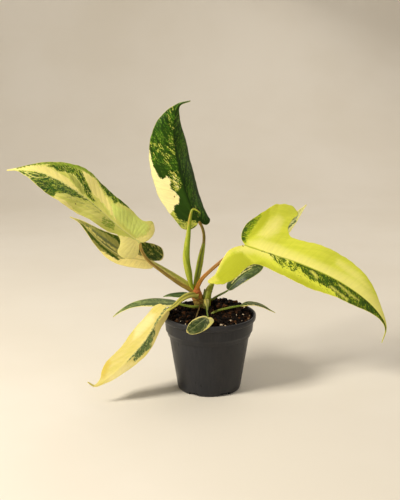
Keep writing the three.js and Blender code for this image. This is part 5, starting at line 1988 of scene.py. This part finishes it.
def back_right() -> Leaf:
    """The small leaf behind on the right."""
    shape = SmallBlade(
        midrib=((22, 16, 110), (30, 17, 119), (39, 18, 127), (47, 20, 132), (55, 21, 135), (62, 22, 136.5)),
        facing=((-0.3, -0.8, 0.5),) * 2,
        veins=(
            (0.02, 0.01, 3.5, 0.04, 3), (0.08, 0.08, 6, 0.16, 5.5), (0.2, 0.22, 7, 0.34, 7.5),
            (0.4, 0.42, 7, 0.53, 9), (0.6, 0.62, 6.5, 0.73, 8.5), (0.8, 0.8, 5.5, 0.89, 6),
            (0.93, 0.93, 3.5, 0.97, 3),
        ),
        lift=((0, 10, -4, 10, -4),),
        wave=(0.3, 26, 0),
    )
    finish = LeafFinish(
        "streaked_skin", "grey_leaf", ground=(56, 74, 42), shade=(72, 90, 48),
        layers=(
            Layer(SAGE, (102, 116, 66), stray=1.2, soft=0.5, lively=0.2),
            Layer(CREAM, (206, 200, 128), stray=0.35, lively=0.1),
            Layer(LIME, (180, 184, 84), stray=0.6),
        ),
        rib=(126, 140, 80), rim=(196, 198, 116), rim_width=0.5, seed=37.1,
    )
    marks = (
        Mark(CREAM, ((8, -2.8), (22, -3.7), (38, -2.5), (38, -1.3), (22, -2.3), (8, -1.8))),
        Mark(CREAM, ((18, -5.6), (34, -5.2), (42, -3.8), (42, -2.8), (32, -4.0), (18, -4.6))),
        Mark(CREAM, ((4, -6), (20, -7.4), (40, -7), (46, -4), (50, -6), (40, -9), (20, -9), (4, -8))),
        Mark(LIME, ((8, 6.2), (26, 8.2), (42, 9), (50, 5), (54, 10), (30, 12), (8, 9))),
        Mark(SAGE, ((10, 1), (24, -1), (44, -1), (46, 4), (28, 5), (12, 4)), cover=-0.4),
    )
    tube = Tube(
        points=(
            (-2, 13, 84), (-0.5, 14, 92), (2.5, 14.3, 98), (6.5, 14.6, 101.5), (12, 15, 104.6),
            (18, 15.6, 107.6), (21.7, 15.9, 109.7),
        ),
        radii=(1.2, 1.5, 1.4, 1.3, (1.2, 1.1), (1.1, 1), (0.9, 0.8)),
    )
    return Leaf("leaf_back_right", shape, finish, marks, ThinStalk(tube, GREEN_STALK))


def side_right() -> Leaf:
    """The small leaf low on the right."""
    shape = SmallBlade(
        midrib=((35, 0, 96.3), (44, 1, 98.8), (53, 2, 98), (62, 2, 95), (69, 1, 91), (75, 0, 88)),
        facing=((0.1, -0.45, 0.88),) * 2,
        veins=(
            (0.03, 0.06, 2.5, 0.05, 2.5), (0.14, 0.2, 4.5, 0.18, 4.5), (0.32, 0.38, 4.5, 0.37, 4.5),
            (0.52, 0.58, 3.8, 0.57, 3.8), (0.72, 0.76, 2.2, 0.76, 2.2), (0.88, 0.9, 1.1, 0.9, 1.1),
        ),
        lift=((0, -16, -6, 12, -6),),
        wave=(0.3, 22, 0),
    )
    finish = LeafFinish(
        "low_skin", "grey_leaf", ground=(44, 60, 26), shade=(62, 78, 34),
        layers=(
            Layer(SAGE, (104, 114, 52), stray=1.4, lively=0.2),
            Layer(LIME, (176, 188, 76), stray=1.2),
            Layer(CREAM, (230, 220, 126), stray=0.6),
        ),
        rib=(140, 154, 84), seed=41.6,
    )
    marks = (
        Mark(CREAM, ((2, 2), (10, 3.4), (22, 3.3), (36, 1.6), (42, 0.8), (40, 4), (20, 7), (4, 6))),
        Mark(LIME, ((6, -4), (20, -4), (34, -2), (34, -6), (8, -7)), cover=0.3),
        Mark(SAGE, ((8, -2), (24, -2), (34, 0), (22, 1.6), (8, 1)), cover=-0.2),
    )
    tube = Tube(
        points=(
            (0, -4.6, 81), (2.5, -4.4, 87.5), (10, -3.4, 91.4), (19, -2, 93.4), (27, -1, 95), (34.6, 0, 96),
        ),
        radii=(1.3, 1.4, (1.3, 1.2), (1.2, 1.1), (1.2, 1), (1, 0.9)),
    )
    return Leaf("leaf_side_right", shape, finish, marks, ThinStalk(tube, GREEN_STALK))


def front_small() -> Leaf:
    """The small leaf at the front."""
    shape = SmallBlade(
        midrib=((-1.5, -35, 93.6), (-6, -42, 93), (-12.5, -50, 90.6), (-19.5, -56, 87), (-25, -59, 84.6)),
        facing=((-0.1, -0.66, 0.74),) * 2,
        veins=(
            (0.03, -0.06, 2.5, 0.03, 3), (0.12, -0.01, 7, 0.16, 5.5), (0.3, 0.19, 10.5, 0.34, 7),
            (0.5, 0.47, 11.5, 0.52, 7.5), (0.7, 0.68, 10.5, 0.71, 7), (0.86, 0.87, 7.5, 0.86, 5),
            (0.95, 0.97, 4, 0.95, 2.5),
        ),
        lift=((0, 6, -5, 6, -5),),
        wave=(0.3, 24, 0),
    )
    finish = LeafFinish(
        "front_skin", "grey_leaf", ground=(226, 210, 128), shade=(204, 196, 106),
        layers=(
            Layer(FLECK, (66, 76, 38), stray=0.5, lively=0.3, fleck=(136, 142, 88), flecks=0.14),
            Layer(DARK, (42, 58, 20), stray=1.3, soft=0.5, lively=0.25),
            Layer(SPOT, (126, 92, 46), stray=0.3),
        ),
        rib=(146, 152, 92), rib_share=0.6, rim=(222, 208, 130), seed=44.4,
    )
    marks = (
        Mark(FLECK, (
            (3, 1.4), (4, -4), (10, -8.2), (16, -9.6), (23, -10.6), (30, -9), (34.5, -4), (34.5, 3), (30, 6),
            (22, 7), (12, 5.2), (6, 3.6),
        )),
        Mark(DARK, ((6, -1), (10, -5), (20, -7), (28, -5), (30, 2), (20, 4), (8, 3)), cover=0.2),
        Mark(SPOT, ((34.8, -4), (38, -4), (38, 4), (34.8, 4)), cover=1.0),
    )
    tube = Tube(
        points=(
            (-4, 6, 100), (-3.4, -2, 103), (-2.8, -9, 102), (-2.4, -16, 99.8), (-2.6, -25, 97),
            (-1.9, -34, 94.2),
        ),
        radii=(2, (2.8, 2.2), (2.9, 2.4), (1.6, 1.4), 0.9, (0.9, 0.8)),
    )
    return Leaf("leaf_front_small", shape, finish, marks, ThinStalk(tube, FRONT_STALK))


def behind_right() -> Leaf:
    """The small pale leaf high up behind on the right."""
    shape = SmallBlade(
        midrib=(
            (57, 40, 155), (72, 44.5, 163), (86, 46, 172), (93, 46, 180), (99, 46, 187.5), (105.5, 46, 196),
            (112.5, 46, 204),
        ),
        facing=((-0.3, -0.9, 0.2),) * 2,
        veins=(
            (0.02, 0.02, 4, 0.02, 4), (0.08, 0.12, 7, 0.12, 7), (0.24, 0.3, 8, 0.3, 8),
            (0.44, 0.5, 6.5, 0.48, 6.5), (0.62, 0.67, 5.5, 0.66, 5), (0.8, 0.83, 3, 0.83, 3),
            (0.93, 0.94, 1.2, 0.94, 1.2),
        ),
        lift=((0, 8, -4, 8, -4),),
        wave=(0.3, 22, 0),
    )
    finish = LeafFinish(
        "far_skin", "grey_leaf", ground=(216, 208, 146), shade=(192, 190, 122),
        layers=(
            Layer(SAGE, (140, 150, 84), stray=1.0, soft=0.5),
            Layer(LIME, (204, 202, 120), stray=1.2),
            Layer(DARK, (58, 82, 34), stray=0.7, lively=0.25),
        ),
        rib=(176, 176, 104), seed=48.9,
    )
    marks = (
        Mark(SAGE, ((4, -5), (30, -5), (56, -2), (62, 1), (40, 3), (6, 3)), cover=0.3),
        Mark(DARK, ((2, -2.5), (28, -3), (48, -1.4), (60, 1.4), (58, -0.6), (50, -5), (24, -12), (4, -9))),
        Mark(DARK, ((30, 0.4), (44, 0.8), (54, 2.6), (54, 3.6), (42, 2.4), (30, 2)), cover=1.0),
        Mark(LIME, ((50, 4), (66, 0), (74, 2), (66, 6), (50, 7)), cover=0.4),
    )
    tube = Tube(
        points=(
            (1.8, 11, 115.5), (7, 14.5, 124), (14, 19, 132), (27, 27, 142), (42, 34.5, 150),
            (56.4, 39.8, 154.8),
        ),
        radii=(2.2, (2.1, 2), (1.8, 1.7), (1.5, 1.4), (1.3, 1.2), (1, 0.9)),
    )
    return Leaf("leaf_behind_right", shape, finish, marks, ThinStalk(tube, YELLOW_STALK))


def stems() -> None:
    """Makes the two stems, the new leaf's spike, the bud and the air root."""
    tube = Tube(
        points=(
            (-7, 14, 72), (-8.5, 12, 86), (-11, 9.5, 96), (-14, 6.5, 106), (-16, 3.5, 114),
            (-16.3, 2.5, 117.5),
        ),
        radii=(2.4, 5, 6.2, 6.4, 5.8, 3),
    )
    Stem(tube, BARK, scars=(0.3, 0.39, 0.47, 0.56, 0.66, 0.78)).build("stem_main")
    tube = Tube(
        points=(
            (-3, 12, 74), (-3.6, 10, 88), (-3.6, 8.5, 97), (-2.4, 8.6, 106), (0.3, 10, 113),
            (3.2, 11.5, 118),
        ),
        radii=(2.2, 4.8, 5.4, 4.9, 3.8, 2.7),
        low_turn=110,
    )
    Stem(tube, SIDE_SKIN, scars=(0.35, 0.55, 0.75)).build("stem_side")
    tube = Tube(
        points=(
            (-16, 3, 108), (-20.5, 0, 121), (-23, -3, 135), (-25.6, -5, 152), (-25, -5, 166),
            (-23.6, -4.6, 178), (-21.8, -3.2, 196), (-18.6, -2, 207.5), (-15.5, -2.6, 207.6),
            (-10.6, -4, 204.6),
        ),
        radii=(
            2.4, 2.6, (4, 3), (4, 3), (3.4, 2.7), (2.7, 2.3), (1.9, 1.7), (1.2, 1), (0.9, 0.6), (0.5, 0.45),
        ),
        # Turns the spike's darker low colour to its right side as painted shade.
        low_turn=110,
    )
    Spike(tube, SPIKE_SKIN).build("new_leaf_spike")
    tube = Tube(
        points=((-5.6, 8.6, 98), (-6, 4.6, 105), (-5.6, 4.6, 110), (-5.2, 5.4, 114.4)),
        radii=(1.2, (1.6, 1.4), (1.2, 1), 0.5),
    )
    Stalk(tube, SHADED_STALK, furrow=0.0, rings=40).build("bud_small")
    tube = Tube(
        points=(
            (-10.4, 8, 95), (-10, 2, 97.5), (-10.6, -4, 97.6), (-12.4, -11, 93.5), (-14.4, -16, 88.5),
            (-16, -19.5, 82),
        ),
        radii=(1, 0.9, 0.8, 0.8, 0.8, 0.6),
    )
    Stalk(tube, ROOT_SKIN, furrow=0.0, rings=80, sides=16).build("aerial_root")


def main() -> None:
    """Builds the pot, the soil, the stems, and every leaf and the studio."""
    logging.basicConfig(level=logging.INFO, format="%(name)s: %(message)s")
    Pot(PotFinish("dark_plastic", (38, 39, 43), (45, 45, 48), (80, 73, 66))).build()
    peat = EarthFinish("peat", (7, 4, 2), (92, 56, 28), (70, 44, 22))
    perlite = EarthFinish("perlite", (186, 138, 92), (236, 220, 190), (150, 110, 72), roughness=0.85)
    Soil(peat, perlite).build()
    stems()
    leaves = (
        upper_left, lower_left, upright, lobed_right, drooping, side_left, back_left, back_right, side_right,
        front_small, behind_right,
    )
    for leaf in leaves:
        leaf().build()
    Studio(BackdropFinish("paper", (240, 233, 222), (235, 227, 214))).build()


if __name__ == "__main__":
    main()
